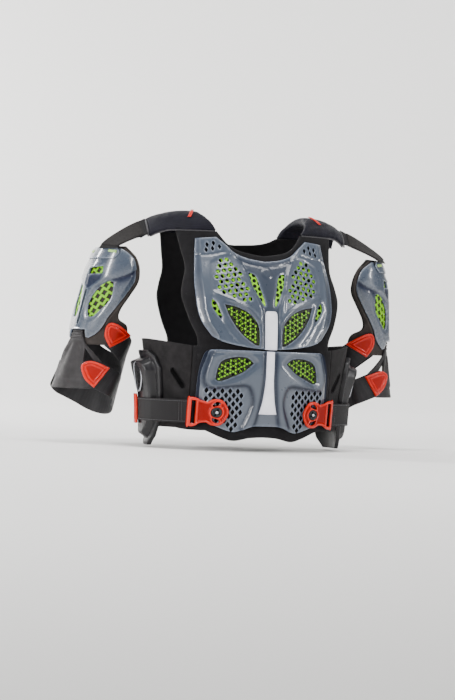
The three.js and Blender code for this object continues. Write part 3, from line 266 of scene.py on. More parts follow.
def solid_mesh(name, points, faces, flat=None):
    """A mesh object from points in millimetres, facing out, smooth apart from its sharp edges."""
    mesh = bpy.data.meshes.new(name)
    mesh.from_pydata((np.asarray(points) * MM).tolist(), [], faces)
    work = bmesh.new()
    work.from_mesh(mesh)
    if work.calc_volume(signed=True) < 0:
        bmesh.ops.reverse_faces(work, faces=work.faces)
    work.to_mesh(mesh)
    work.free()
    if flat is not None:
        layer = mesh.uv_layers.new(name="flat")
        corners = np.zeros(len(mesh.loops), int)
        mesh.loops.foreach_get("vertex_index", corners)
        layer.data.foreach_set("uv", (np.asarray(flat)[corners] * MM).ravel())
    mesh.shade_smooth()
    mesh.set_sharp_from_angle(angle=math.radians(SHARP_ANGLE))
    return new_object(name, mesh)


def resampled(loop, step):
    """The loop with its long pieces split, turned anticlockwise."""
    loop = loop if signed_area(loop) > 0 else loop[::-1]
    points = []
    for a, b in zip(loop, np.roll(loop, -1, 0)):
        count = max(math.ceil(np.linalg.norm(b - a) / step), 1)
        points.extend(a + (b - a) * t / count for t in range(count))
    return np.array(points)


def inner_ring(loop, inset):
    """Points beside a loop, on the side where the material is."""
    way = np.roll(loop, -1, 0) - np.roll(loop, 1, 0)
    way /= np.maximum(np.linalg.norm(way, axis=1), 1e-9)[:, None]
    return loop + inset * np.stack([-way[:, 1], way[:, 0]], 1)


def search_tree(points):
    tree = kdtree.KDTree(len(points))
    for i, p in enumerate(points):
        tree.insert((p[0], p[1], 0), i)
    tree.balance()
    return tree


def nearest_distances(points, targets):
    tree = search_tree(targets)
    return np.array([tree.find((p[0], p[1], 0))[2] for p in points])


def thinned(points, gap):
    """The points, without those nearer than a gap to one before them."""
    tree = search_tree(points)
    first = [min(found[1] for found in tree.find_range((p[0], p[1], 0), gap)) for p in points]
    return points[np.array(first) == np.arange(len(points))]


EDGE_RINGS = (0.15, 0.45, 1.0)  # where points stand beside a cut, as shares of the width it is rounded over
SMALL_HOLE = 0.4  # the share of that width that a small hole gets
ON_CUT = 1e-3
CLOSE_PACKED = 0.866


def in_material(points, loops):
    """Which points lie inside the first loop and in none of the holes."""
    kept = is_inside(points, loops[0])
    for loop in loops[1:]:
        kept &= ~is_inside(points, loop)
    return kept


def packed_grid(low, high, pitch):
    """Rows of points, every other row half a pitch along."""
    x = np.arange(low[0], high[0], pitch)
    y = np.arange(low[1], high[1], pitch * CLOSE_PACKED)
    grid = np.stack(np.meshgrid(x, y), 2)
    grid[1::2, :, 0] += pitch / 2
    return grid.reshape(-1, 2)


def inner_points(loops, reach, cuts, spacing, edge, lines):
    """Points inside a pattern: rings beside each cut, then marked lines, then an even grid between them."""
    shares = [(loop, size * share) for loop, size in zip(loops, reach) for share in EDGE_RINGS]
    rings = np.vstack([inner_ring(loop, inset) for loop, inset in shares])
    levels = np.concatenate([[inset] * len(loop) for loop, inset in shares])
    clear = in_material(rings, loops) & (nearest_distances(rings, cuts) > 0.8 * levels)
    placed = [thinned(rings[clear], 0.1 * edge)]
    if len(lines):
        marks = np.vstack([smooth_run(line, spacing * 0.6) for line in lines])
        clear = in_material(marks, loops) & (nearest_distances(marks, cuts) > 1.3 * edge)
        placed.append(thinned(marks[clear], 0.4 * spacing))
    grid = packed_grid(loops[0].min(0), loops[0].max(0), spacing)
    grid = grid[in_material(grid, loops)]
    return [*placed, grid[nearest_distances(grid, np.vstack([cuts, *placed])) > 0.5 * spacing]]


def triangulated(points, loops):
    """Triangles of the material between points, of which the loops' own come first."""
    edges, start = [], 0
    for loop in loops:
        edges += [(start + i, start + (i + 1) % len(loop)) for i in range(len(loop))]
        start += len(loop)
    made = delaunay_2d_cdt([Vector(p) for p in points], edges, [], 0, 1e-4)
    flat = np.array([tuple(p) for p in made[0]])
    triangles = np.array(made[2])
    triangles = triangles[in_material(flat[triangles].mean(1), loops)]
    # Along a straight cut a triangle of three points on the cut is no wider than a hair: it is left out
    corners = flat[triangles]
    (ax, ay), (bx, by) = (corners[:, 1] - corners[:, 0]).T, (corners[:, 2] - corners[:, 0]).T
    on_cut = (nearest_distances(flat, np.vstack(loops)) < ON_CUT)[triangles].all(1)
    triangles = triangles[~on_cut | (np.abs(ax * by - ay * bx) > 0.02 * (ax**2 + ay**2 + bx**2 + by**2))]
    used = np.unique(triangles)
    place = np.zeros(len(flat), int)
    place[used] = np.arange(len(used))
    return flat[used], place[triangles]


def cut_pattern(outline, holes, spacing, edge, lines):
    """A flat pattern cut to an outline: its points, triangles, and each point's distance from the cut."""
    loops = [resampled(outline, spacing * 0.8)] + [resampled(hole, spacing * 0.8)[::-1] for hole in holes]
    fine = [resampled(loop, 0.4) for loop in loops]
    cuts = np.vstack(fine)
    reach = [edge if np.ptp(loop, axis=0).min() > 10 * edge else SMALL_HOLE * edge for loop in loops]
    points = np.vstack([*loops, *inner_points(loops, reach, cuts, spacing, edge, lines)])
    flat, triangles = triangulated(points, loops)
    large = [loop for loop, size in zip(fine, reach) if size == edge]
    small = [loop for loop, size in zip(fine, reach) if size < edge]
    inset = nearest_distances(flat, np.vstack(large or [cuts]))
    if small:
        inset = np.minimum(inset, nearest_distances(flat, np.vstack(small)) / SMALL_HOLE)
    inset[nearest_distances(flat, np.vstack(loops)) < ON_CUT] = 0
    return flat, triangles, inset


def moulding(name, surface, outline, holes=(), face=3.0, seat=0.0, spacing=3.0, edge=1.0, lines=(),
             soft=False, shade=None):
    """A plate cut to a flat outline and laid on a surface, with rounded edges.

    face and seat are its levels, or functions of the flat points. lines are where the pattern needs closer
    points, and shade tells where painted shade darkens its colour.
    """
    flat, triangles, inset = cut_pattern(outline, holes, spacing, edge, lines)
    level = face(flat) if callable(face) else np.full(len(flat), float(face))
    under = seat(flat) if callable(seat) else np.full(len(flat), float(seat))
    short = np.clip(1 - inset / edge, 0, 1)
    roll = edge * (1 - np.sqrt(1 - short**2))
    top = surface(flat[:, 0], flat[:, 1], level - roll)
    bottom = surface(flat[:, 0], flat[:, 1], under + (roll if soft else 0))
    count = len(flat)
    sides = {}
    for a, b, c in triangles:
        for pair in ((a, b), (b, c), (c, a)):
            sides[pair] = (int(pair[0]), int(pair[1]))
    rims = [pair for key, pair in sides.items() if (key[1], key[0]) not in sides]
    faces = [tuple(int(i) for i in t) for t in triangles]
    faces += [(c + count, b + count, a + count) for a, b, c in faces]
    faces += [(b, a, a + count, b + count) for a, b in rims]
    made = solid_mesh(name, np.vstack([top, bottom]), faces, np.vstack([flat, flat]))
    # Marks along the cut: wear and painted highlight on the nylon, painted shade on the nets, a greyer rim on
    # the pale strips
    lift = np.concatenate([np.exp(-inset / EDGE_MARK_REACH), np.zeros(count)])
    # Painted shade: the top as the shade function gives it, the underside painted fully shaded
    deep = np.concatenate([shade(flat) if shade else np.zeros(count), np.ones(count)])
    for label, values in (("edge", lift), ("shade", deep)):
        made.data.attributes.new(label, "FLOAT", "POINT").data.foreach_set("value", values.astype(float))
    return made


def slab(name, place, length, width, thickness, step=3.0, rim=1.0):
    """A strip or pad: place gives points from shares along, across and through it. Its rim is rounded."""
    def shares(size):
        near = rim * thickness / size * np.array([0, 0.08, 0.3, 0.65])
        inner = np.linspace(rim * thickness / size, 1 - rim * thickness / size, max(int(size / step), 2))
        return np.concatenate([near, inner, 1 - near[::-1]])

    u, v = np.meshgrid(shares(length), shares(width), indexing="ij")
    u, v = u.ravel(), v.ravel()
    reach = np.minimum(np.minimum(u, 1 - u) * length, np.minimum(v, 1 - v) * width) / (rim * thickness)
    half = 0.5 * np.sqrt(1 - (1 - np.clip(reach, 0.02, 1)) ** 2)
    points = np.vstack([place(u, v, 0.5 + half), place(u, v, 0.5 - half)])
    rows, columns = len(shares(length)), len(shares(width))
    index = np.arange(rows * columns).reshape(rows, columns)
    count = index.size
    faces = []
    for i in range(rows - 1):
        for j in range(columns - 1):
            a, b, c, d = (int(index[p]) for p in ((i, j), (i + 1, j), (i + 1, j + 1), (i, j + 1)))
            faces += [(a, b, c, d), (a + count, d + count, c + count, b + count)]
    ring = [*index[0, :], *index[1:, -1], *index[-1, -2::-1], *index[-2:0:-1, 0]]
    for a, b in zip(ring, ring[1:] + ring[:1]):
        faces.append((int(a), int(b), int(b) + count, int(a) + count))
    flat = np.stack([u * length, v * width], 1)
    return solid_mesh(name, points, faces, np.vstack([flat, flat]))


def tube(name, paths, radius, closed=False, sides=8):
    """Round mouldings, piping or threads along paths. A path is its points and the way up at each."""
    points, faces, flat = [], [], []
    for centres, ups in paths:
        n = len(centres)
        way = np.roll(centres, -1, 0) - np.roll(centres, 1, 0)
        if not closed:
            way[0], way[-1] = centres[1] - centres[0], centres[-1] - centres[-2]
        way /= np.maximum(np.linalg.norm(way, axis=1), 1e-9)[:, None]
        aside = np.cross(way, ups)
        aside /= np.maximum(np.linalg.norm(aside, axis=1), 1e-9)[:, None]
        up = np.cross(aside, way)
        size = np.full(n, radius, float)
        if not closed:
            size[0] = size[-1] = radius * 0.45
        turns = np.linspace(0, 2 * math.pi, sides, endpoint=False)
        start = sum(len(p) for p in points)
        across, over = np.cos(turns)[None, :, None], np.sin(turns)[None, :, None]
        ring = centres[:, None] + size[:, None, None] * (across * aside[:, None] + over * up[:, None])
        points.append(ring.reshape(-1, 3))
        length = np.concatenate([[0], np.cumsum(np.linalg.norm(np.diff(centres, axis=0), axis=1))])
        flat.append(np.stack([np.repeat(length, sides), np.tile(turns * radius, n)], 1))
        last = n if closed else n - 1
        for i in range(last):
            for j in range(sides):
                a, b = start + i * sides + j, start + i * sides + (j + 1) % sides
                c, d = (start + ((i + 1) % n) * sides + k % sides for k in (j + 1, j))
                faces.append((a, b, c, d))
        if not closed:
            faces.append(tuple(start + j for j in reversed(range(sides))))
            faces.append(tuple(start + (n - 1) * sides + j for j in range(sides)))
    return solid_mesh(name, np.vstack(points), faces, np.vstack(flat))


def lay(surface, line, level):
    """A flat line laid on a surface: its points and the way up at each."""
    out = level(line) if callable(level) else np.full(len(line), float(level))
    here = surface(line[:, 0], line[:, 1], out)
    return here, surface(line[:, 0], line[:, 1], out + 1) - here


def evenly(line, step, closed=False):
    """Points along a line, the same distance apart."""
    line = np.vstack([line, line[:1]]) if closed else line
    length = np.concatenate([[0], np.cumsum(np.linalg.norm(np.diff(line, axis=0), axis=1))])
    at = np.linspace(0, length[-1], max(int(length[-1] / step), 1) + 1)
    return np.stack([np.interp(at, length, line[:, i]) for i in range(line.shape[1])], 1)


def lay_ring(surface, loop, level, step=2):
    """A closed flat line laid on a surface."""
    return lay(surface, evenly(loop, step, closed=True)[:-1], level)


STITCH, STITCH_PITCH, THREAD_RADIUS = 2.4, 3.4, 0.38
STITCH_BOW = np.array([-0.25, 0.12, 0.12, -0.25])
GASKET_RADIUS = 0.55


def stitches(name, surface, lines, level):
    """Rows of stitches that lie on a surface."""
    paths = []
    for line in lines:
        starts = evenly(line, STITCH_PITCH)
        for a, b in zip(starts[:-1], starts[1:]):
            dash = a + (b - a) * np.linspace(0, STITCH / STITCH_PITCH, 4)[:, None]
            centres, ups = lay(surface, dash, level)
            ups /= np.linalg.norm(ups, axis=1)[:, None]
            centres = centres + ups * STITCH_BOW[:, None]
            paths.append((centres, ups))
    return tube(name, paths, THREAD_RADIUS, sides=6)


def mirrored(piece, name):
    """The same piece for the wearer's right."""
    mesh = piece.data.copy()
    mesh.name = name
    mesh.transform(Matrix.Diagonal((-1, 1, 1, 1)))
    mesh.flip_normals()
    return new_object(name, mesh)


def finished(piece, material, slot, *nodes):
    """Gives a piece its material and ties it to the part. nodes are the CAD nodes that it stands for."""
    piece.data.materials.clear()
    piece.data.materials.append(material)
    if nodes:
        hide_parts(*nodes)
    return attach(piece, "root")


def finished_pair(piece, material, slot, *nodes):
    """The same for a piece on each side, made as the wearer's left."""
    left = finished(piece, material, slot, *[f"{node}_left" for node in nodes])
    base = left.name.removesuffix("_left")
    right = finished(mirrored(left, f"{base}_right"), material, slot, *[f"{node}_right" for node in nodes])
    left.name = f"{base}_left"
    return left, right


# Camera, light and the studio round the part

def add_camera():
    turn = math.radians(CAMERA_TURN)
    sideways = Vector((math.cos(turn), -math.sin(turn), 0))
    away = Vector((-math.sin(turn), -math.cos(turn), 0))
    data = bpy.data.cameras.new("photo_camera")
    data.sensor_width = SENSOR
    data.lens = SENSOR * CAMERA_DISTANCE / (IMAGE_SIZE[1] * MM_PER_PIXEL * MM)
    camera = new_object("photo_camera", data)
    aim = sideways * AIM_SIDEWAYS + Vector((0, 0, AIM_HEIGHT))
    roll = Matrix.Rotation(math.radians(CAMERA_ROLL), 4, "Z")
    level = (-away).to_track_quat("-Z", "Y").to_matrix().to_4x4()
    camera.matrix_world = Matrix.Translation(aim + away * CAMERA_DISTANCE) @ level @ roll
    bpy.context.scene.camera = camera


def add_softbox(name, place, aim, size, power):
    data = bpy.data.lights.new(name, "AREA")
    data.shape = "RECTANGLE"
    data.size, data.size_y = size
    data.energy = power
    light = new_object(name, data)
    light.location = place
    light.rotation_euler = (Vector(aim) - Vector(place)).to_track_quat("-Z", "Y").to_euler()


def add_studio():
    """Strip lights on both sides, a softbox above, lights on the backdrop, and a pale sweep round it all."""
    middle = (0, 0, -0.2)
    add_softbox("left_strip", (-2.2, -1.5, 0.5), middle, (0.24, 1.9), 84)
    add_softbox("right_strip", (1.8, -1.9, 0.7), middle, (0.24, 1.7), 52)
    add_softbox("top_softbox", (0.1, -0.6, 1.9), middle, (1.7, 0.9), 46)
    for side, label, power in ((-1, "left", 270), (1, "right", 50)):
        add_softbox(f"{label}_backdrop_light", (side * 2.4, 1.3, 1.5), (side * 1.1, 3.4, 0.1), (0.8, 1.2),
                    power)
    world = bpy.data.worlds.new("studio_air")
    bpy.context.scene.world = world
    world.use_nodes = True
    world.node_tree.nodes["Background"].inputs["Color"].default_value = paint("#f1f1ef")
    world.node_tree.nodes["Background"].inputs["Strength"].default_value = 0.34
    floor = cad_box[0].z - 0.004
    profile = [(-6, 0), (2.4, 0), (2.9, 0.1), (3.25, 0.35), (3.4, 0.8), (3.45, 3.5)]
    points = [(x, y, floor + up) for x in (-7, 7) for y, up in profile]
    faces = [(i, i + 6, i + 7, i + 1) for i in range(5)]
    mesh = bpy.data.meshes.new("studio_sweep")
    mesh.from_pydata(points, [], faces)
    mesh.shade_smooth()
    sweep = new_object("studio_sweep", mesh)
    mesh.materials.append(new_material("pale_paper", Base_Color=paint("#efeeec"), Roughness=0.9)[0])


# Materials

def paint(colour):
    """An sRGB hex colour as linear values."""
    parts = [int(colour[i:i + 2], 16) / 255 for i in (1, 3, 5)]
    return (*[p / 12.92 if p <= 0.04045 else ((p + 0.055) / 1.055) ** 2.4 for p in parts], 1)


def wire(tree, node, inputs):
    """Gives each socket of a node, by name or number, a value or the output that it is linked to."""
    for key, value in inputs.items():
        if isinstance(value, bpy.types.NodeSocket):
            tree.links.new(value, node.inputs[key])
        else:
            node.inputs[key].default_value = value


def add_node(tree, kind, inputs=(), output=0, **settings):
    """Adds a node with its settings and links, and gives its output. A list fills the sockets in order."""
    node = tree.nodes.new(f"ShaderNode{kind}")
    for key, value in settings.items():
        setattr(node, key, value)
    wire(tree, node, inputs if isinstance(inputs, dict) else dict(enumerate(inputs)))
    return node.outputs[output]


def new_material(name, **values):
    """A material with its node tree and shader, and values for the shader's sockets."""
    made = bpy.data.materials.new(name)
    made.use_nodes = True
    shader = made.node_tree.nodes["Principled BSDF"]
    wire(made.node_tree, shader, {key.replace("_", " "): value for key, value in values.items()})
    return made, made.node_tree, shader


def blend(share, first, second):
    """Sockets for a colour between two."""
    return {0: share, 6: first, 7: second}


def patches(size, where, detail=3):
    """Sockets for soft random patches about as large as size, in millimetres."""
    return {"Vector": where, "Scale": 1 / (size * MM), "Detail": detail}


def ribs(pitch, where):
    """Sockets for even ribs a pitch apart, in millimetres."""
    return {"Vector": where, "Scale": math.pi / 10 / (pitch * MM)}


def raised(height, depth, strength=1.0):
    """Sockets for a surface that a pattern raises by its depth, in millimetres."""
    return {"Height": height, "Distance": depth * MM, "Strength": strength}


COLOUR = {"output": 2, "data_type": "RGBA"}


def moulded_nylon(name, colour, deep, wear_and_shine, gloss=0.3, shine=1.0):
    """Injection-moulded nylon with a fine spark-eroded grain: painted shade darkens its hollows and steps,
    paler on its edges with wear and a painted highlight, with a clear gloss that shows the facets."""
    made, tree, shader = new_material(name, IOR=1.53, Coat_Roughness=0.05)
    space = add_node(tree, "TexCoord", output="Object")
    shade = add_node(tree, "Attribute", output="Fac", attribute_name="shade")
    edge = add_node(tree, "Attribute", output="Fac", attribute_name="edge")
    cloudy = add_node(tree, "TexNoise", patches(26, space))
    cloudy = add_node(tree, "MapRange", [cloudy, 0.3, 0.7, 0, 0.12])
    # Paler edges: wear, and a painted highlight along the bevels
    wear_and_highlight = add_node(tree, "TexNoise", patches(5, space, 4))
    wear_and_highlight = add_node(tree, "MapRange", [wear_and_highlight, 0.3, 0.7, 0.15, 0.6])
    wear_and_highlight = add_node(tree, "Math", [edge, wear_and_highlight], operation="MULTIPLY")
    smeared = add_node(tree, "TexNoise", patches(9, space, 5))
    grain = add_node(tree, "TexNoise", patches(1.6, space, 2))
    # Painted shade: the colour turns deep in the hollows and down the steps
    body = add_node(tree, "Mix", blend(shade, paint(colour), paint(deep)), **COLOUR)
    body = add_node(tree, "Mix", blend(cloudy, body, paint(deep)), **COLOUR)
    # Hollows face the dark part of the room, so they shine less than the crests
    levels = (0.7 * shine, 0.5 * shine)
    coat, specular = (add_node(tree, "MapRange", [shade, 0, 1, most, 0.12 * most]) for most in levels)
    wire(tree, shader, {
        "Base Color": add_node(tree, "Mix", blend(wear_and_highlight, body, paint(wear_and_shine)), **COLOUR),
        "Roughness": add_node(tree, "MapRange", [smeared, 0.3, 0.7, gloss - 0.03, gloss + 0.06]),
        "Coat Weight": coat,
        "Specular IOR Level": specular,
        "Normal": add_node(tree, "Bump", raised(grain, 0.02, 0.3)),
    })
    return made


def foam_jersey(name, colour, light):
    """Foam laminated with warp-knit jersey: rows of tiny loops, dull, with a faint pale bloom."""
    made, tree, shader = new_material(name, Roughness=0.9, Specular_IOR_Level=0.15, Sheen_Weight=0.03)
    space = add_node(tree, "TexCoord", output="Object")
    pattern = add_node(tree, "UVMap", uv_map="flat")
    # The real loops are about 0.8 mm; 1.6 mm keeps them from turning to noise in the render
    rows, wales = (add_node(tree, "TexWave", ribs(1.6, pattern), "Fac", bands_direction=way) for way in "XY")
    loops = add_node(tree, "Math", [rows, wales], operation="MULTIPLY")
    bloom = add_node(tree, "TexNoise", patches(14, space))
    bloom = add_node(tree, "MapRange", [bloom, 0.3, 0.7, 0, 0.6])
    uneven = add_node(tree, "Mix", blend(bloom, paint(colour), paint(light)), **COLOUR)
    crowns = add_node(tree, "MapRange", [loops, 0, 1, 0, 0.4])
    wire(tree, shader, {
        "Base Color": add_node(tree, "Mix", blend(crowns, uneven, paint(light)), **COLOUR),
        "Normal": add_node(tree, "Bump", raised(loops, 0.25)),
    })
    return made


def woven_webbing(name, colour, light, pitch=2.2, gloss=0.62):
    """Woven nylon webbing: crosswise weft ribs under lengthwise yarns, which catch a low shine."""
    made, tree, shader = new_material(name, Specular_IOR_Level=0.2, Sheen_Weight=0.03)
    space = add_node(tree, "TexCoord", output="Object")
    pattern = add_node(tree, "UVMap", uv_map="flat")
    weft = add_node(tree, "TexWave", ribs(pitch, pattern), "Fac", bands_direction="X")
    weft = add_node(tree, "Math", [weft, 0.65], operation="MULTIPLY")
    warp = add_node(tree, "TexWave", ribs(pitch * 0.7, pattern), "Fac", bands_direction="Y")
    warp = add_node(tree, "Math", [warp, 0.35], operation="MULTIPLY")
    weave = add_node(tree, "Math", [weft, warp], operation="ADD")
    crowns = add_node(tree, "MapRange", [weave, 0.1, 0.9, 0, 0.55])
    yarn = add_node(tree, "Mix", blend(crowns, paint(colour), paint(light)), **COLOUR)
    fuzz = add_node(tree, "TexNoise", patches(3, space, 4))
    fuzz = add_node(tree, "MapRange", [fuzz, 0.3, 0.7, 0, 0.35])
    wire(tree, shader, {
        "Base Color": add_node(tree, "Mix", blend(fuzz, yarn, paint(colour)), **COLOUR),
        "Roughness": add_node(tree, "MapRange", [weave, 0, 1, gloss + 0.15, gloss]),
        "Normal": add_node(tree, "Bump", raised(weave, 0.35)),
    })
    return made


def brushed_loop(name, colour, light):
    """Brushed hook-and-loop tape: a short dull pile with uneven tufts."""
    made, tree, shader = new_material(name, Roughness=0.95, Specular_IOR_Level=0.15, Sheen_Weight=0.05)
    space = add_node(tree, "TexCoord", output="Object")
    pile = add_node(tree, "TexNoise", patches(1.4, space, 4))
    tufts = add_node(tree, "MapRange", [pile, 0.35, 0.7, 0, 1])
    wire(tree, shader, {
        "Base Color": add_node(tree, "Mix", blend(tufts, paint(colour), paint(light)), **COLOUR),
        "Normal": add_node(tree, "Bump", raised(pile, 0.5, 0.8)),
    })
    return made


def navy_twill():
    """Tightly woven polyester over the shoulder foam: fine diagonal ribs and a soft satin sheen."""
    made, tree, shader = new_material("navy_polyester_twill", Specular_IOR_Level=0.12, Sheen_Weight=0.02)
    space = add_node(tree, "TexCoord", output="Object")
    slanted = add_node(tree, "Mapping", {"Vector": space, "Rotation": (0.5, 0.6, 0.4)})
    twill = add_node(tree, "TexWave", ribs(1.9, slanted), "Fac", bands_direction="DIAGONAL")
    creased = add_node(tree, "TexNoise", patches(30, space, 2))
    creased = add_node(tree, "MapRange", [creased, 0.3, 0.7, 0, 0.7])
    cloth = add_node(tree, "Mix", blend(creased, paint("#08080f"), paint("#11101a")), **COLOUR)
    crowns = add_node(tree, "MapRange", [twill, 0, 1, 0, 0.35])
    wear_and_shine = add_node(tree, "TexNoise", patches(12, space))
    wire(tree, shader, {
        "Base Color": add_node(tree, "Mix", blend(crowns, cloth, paint("#1b1a26")), **COLOUR),
        "Roughness": add_node(tree, "MapRange", [wear_and_shine, 0.3, 0.7, 0.5, 0.68]),
        "Normal": add_node(tree, "Bump", raised(twill, 0.2)),
    })
    return made


def soft_rubber(name, colour, light, gloss=0.5, shine=0.4):
    """Moulded rubber with a satin face: leathery grain, scuffed a little paler in random patches."""
    made, tree, shader = new_material(name, IOR=1.52, Specular_IOR_Level=shine)
    space = add_node(tree, "TexCoord", output="Object")
    grain = add_node(tree, "TexVoronoi", {"Vector": space, "Scale": 1 / (1.3 * MM)}, "Distance")
    scuffed = add_node(tree, "TexNoise", patches(16, space, 5))
    scuffed = add_node(tree, "MapRange", [scuffed, 0.35, 0.75, 0, 0.7])
    handled = add_node(tree, "TexNoise", patches(7, space))
    wire(tree, shader, {
        "Base Color": add_node(tree, "Mix", blend(scuffed, paint(colour), paint(light)), **COLOUR),
        "Roughness": add_node(tree, "MapRange", [handled, 0.3, 0.7, gloss - 0.08, gloss + 0.1]),
        "Normal": add_node(tree, "Bump", raised(grain, 0.12, 0.6)),
    })
    return made


def bright_elastomer(name, colour, shade):
    """Fluorescent elastomer net: saturated, with a waxy shine, slightly darker thin places and painted shade
    at its edges.
    """
    made, tree, shader = new_material(name, IOR=1.5, Specular_IOR_Level=0.25, Subsurface_Weight=0.15,
                                      Subsurface_Scale=0.002)
    space = add_node(tree, "TexCoord", output="Object")
    edge = add_node(tree, "Attribute", output="Fac", attribute_name="edge")
    thin = add_node(tree, "TexNoise", patches(6, space))
    thin = add_node(tree, "MapRange", [thin, 0.35, 0.7, 0, 0.6])
    # Painted shade: darker towards its cut edges
    body = add_node(tree, "Mix", blend(edge, paint(colour), paint(shade)), **COLOUR)
    waxy = add_node(tree, "TexNoise", patches(4, space))
    skin = add_node(tree, "TexNoise", patches(1.2, space, 2))
    wire(tree, shader, {
        "Base Color": add_node(tree, "Mix", blend(thin, body, paint(shade)), **COLOUR),
        "Roughness": add_node(tree, "MapRange", [waxy, 0.3, 0.7, 0.35, 0.55]),
        "Normal": add_node(tree, "Bump", raised(skin, 0.1, 0.5)),
    })
    return made


def painted_reflection_strip():
    """Painted reflection: a pale strip down the middle facets where they show the bright studio light.
    Cool white with a glossy clear coat, faint flow marks along it and greyer edges.
    """
    made, tree, shader = new_material("pale_strip_painted_reflection", IOR=1.5, Coat_Weight=0.5, Coat_Roughness=0.08)
    space = add_node(tree, "TexCoord", output="Object")
    edge = add_node(tree, "Attribute", output="Fac", attribute_name="edge")
    edge = add_node(tree, "Math", [edge, 0.6], operation="MULTIPLY")
    flow = add_node(tree, "TexNoise", patches(20, space))
    flow = add_node(tree, "MapRange", [flow, 0.3, 0.7, 0, 0.8])
    body = add_node(tree, "Mix", blend(flow, paint("#e3e3e9"), paint("#cfcfda")), **COLOUR)
    wiped = add_node(tree, "TexNoise", patches(8, space))
    dust = add_node(tree, "TexNoise", patches(0.8, space, 2))
    wire(tree, shader, {
        "Base Color": add_node(tree, "Mix", blend(edge, body, paint("#a9abb9")), **COLOUR),
        "Roughness": add_node(tree, "MapRange", [wiped, 0.3, 0.7, 0.25, 0.4]),
        "Normal": add_node(tree, "Bump", raised(dust, 0.03, 0.4)),
    })
    return made


def satin_elastic():
    """Woven elastic band: close lengthwise cords with a black satin lustre and a few pulled threads."""
    made, tree, shader = new_material("black_satin_elastic", Specular_IOR_Level=0.3, Sheen_Weight=0.06)
    space = add_node(tree, "TexCoord", output="Object")
    pattern = add_node(tree, "UVMap", uv_map="flat")
    cords = add_node(tree, "TexWave", ribs(1.8, pattern), "Fac", bands_direction="Y")
    cords = add_node(tree, "Math", [cords, 0.7], operation="MULTIPLY")
    gather = add_node(tree, "TexWave", ribs(5.5, pattern), "Fac", bands_direction="X")
    gather = add_node(tree, "Math", [gather, 0.3], operation="MULTIPLY")
    weave = add_node(tree, "Math", [cords, gather], operation="ADD")
    pulled = add_node(tree, "TexNoise", patches(18, space, 4))
    pulled = add_node(tree, "MapRange", [pulled, 0.3, 0.7, 0, 0.8])
    body = add_node(tree, "Mix", blend(pulled, paint("#0d0c0f"), paint("#1d1b1f")), **COLOUR)
    crowns = add_node(tree, "MapRange", [weave, 0.3, 1, 0, 0.3])
    wire(tree, shader, {
        "Base Color": add_node(tree, "Mix", blend(crowns, body, paint("#2c2a2e")), **COLOUR),
        "Roughness": add_node(tree, "MapRange", [weave, 0, 1, 0.6, 0.42]),
        "Normal": add_node(tree, "Bump", raised(weave, 0.22)),
    })
    return made


def satin_metal_paint():
    """Silver-painted trim: a metallic paint with fine flakes, rubbed duller in patches."""
    made, tree, shader = new_material("silver_painted_trim", Metallic=0.85)
    space = add_node(tree, "TexCoord", output="Object")
    flakes = add_node(tree, "TexNoise", patches(0.9, space, 2))
    dulled = add_node(tree, "TexNoise", patches(10, space, 4))
    wire(tree, shader, {
        "Base Color": add_node(tree, "Mix", blend(flakes, paint("#9fa2ab"), paint("#d6d8de")), **COLOUR),
        "Roughness": add_node(tree, "MapRange", [dulled, 0.3, 0.7, 0.26, 0.45]),
        "Normal": add_node(tree, "Bump", raised(flakes, 0.02, 0.5)),
    })
    return made


def spun_thread(name, colour, light):
    """Bonded sewing thread: twisted strands, dull with a paler crown."""
    made, tree, shader = new_material(name, Roughness=0.7, Sheen_Weight=0.3)
    pattern = add_node(tree, "UVMap", uv_map="flat")
    twist = add_node(tree, "TexWave", ribs(1.1, pattern), "Fac", bands_direction="DIAGONAL")
    wire(tree, shader, {
        "Base Color": add_node(tree, "Mix", blend(twist, paint(colour), paint(light)), **COLOUR),
        "Normal": add_node(tree, "Bump", raised(twist, 0.15)),
    })
    return made


# Front and back padding

NECKLINE = [(0, -58), (38, -51), (57.6, -39), (72, -20)]
BACK_NECKLINE = [(0, -34), (38, -31.5), (57.6, -27), (72, -20)]
ARMHOLE = [(134, -20), (129, -49.8), (125.3, -79.5), (131.3, -105.6), (134, -128.8), (124, -165),
           (112.6, -191), (111.2, -206)]
FRONT_HEM = [(118, -338), (98, -339), (68.4, -351), (48.4, -356), (23.6, -351), (0, -349.5)]
BACK_HEM = [(118, -338), (70.8, -347), (0, -348.8)]


VEST_PADDING = [("chest_foam", "chest_padding", on_front, NECKLINE, FRONT_HEM),
                ("back_foam", "back_padding", on_back, BACK_NECKLINE, BACK_HEM)]
SEAM_INSET = 5.5


def padding_outline(neckline, hem):
    return mirrored_outline([neckline, [(72, -20), (134, -20)], ARMHOLE, [(111.2, -206), (118, -206)],
                             [(118, -206), (118, -338)], hem])


def inset_lines(outline, inset, spans):
    """Stretches of a line that runs a little inside an outline, left out where it would meet a corner."""
    ring = inner_ring(resampled(outline, 2), inset)
    lines = []
    for low, high in spans:
        part = ring[(np.abs(ring[:, 0]) > low[0]) & (ring[:, 1] < low[1]) & (ring[:, 1] > high)]
        for way in (-1, 1):
            side = part[np.sign(part[:, 0]) == way]
            lines.append(side[np.argsort(side[:, 1])])
    return lines


def padding_face(outline):
    def level(flat):
        inset = depth_inside(flat, outline)
        crown = ramp(inset / 5) * (1 - ramp((inset - 9) / 6))
        seam = np.exp(-((inset - SEAM_INSET) / 0.9) ** 2)
        return 0.9 * crown - 0.9 * seam
    return level


def build_padding(thread):
    jersey = foam_jersey("charcoal_foam_jersey", "#0b0a0c", "#181719")
    for name, node, surface, neckline, hem in VEST_PADDING:
        outline = padding_outline(neckline, hem)
        foam = moulding(name, surface, outline, face=padding_face(outline), seat=-PADDING, spacing=4,
                        edge=3.6, soft=True)
        finished(foam, jersey, "foam", node)
        seams = inset_lines(outline, SEAM_INSET, [((100, -30), -200), ((100, -212), -332)])
        sewn = stitches(f"{name}_stitching", surface, seams, lambda line: 0 * line[:, 0] - 0.1)
        finished(sewn, thread, "foam")


# Chest and belly plates

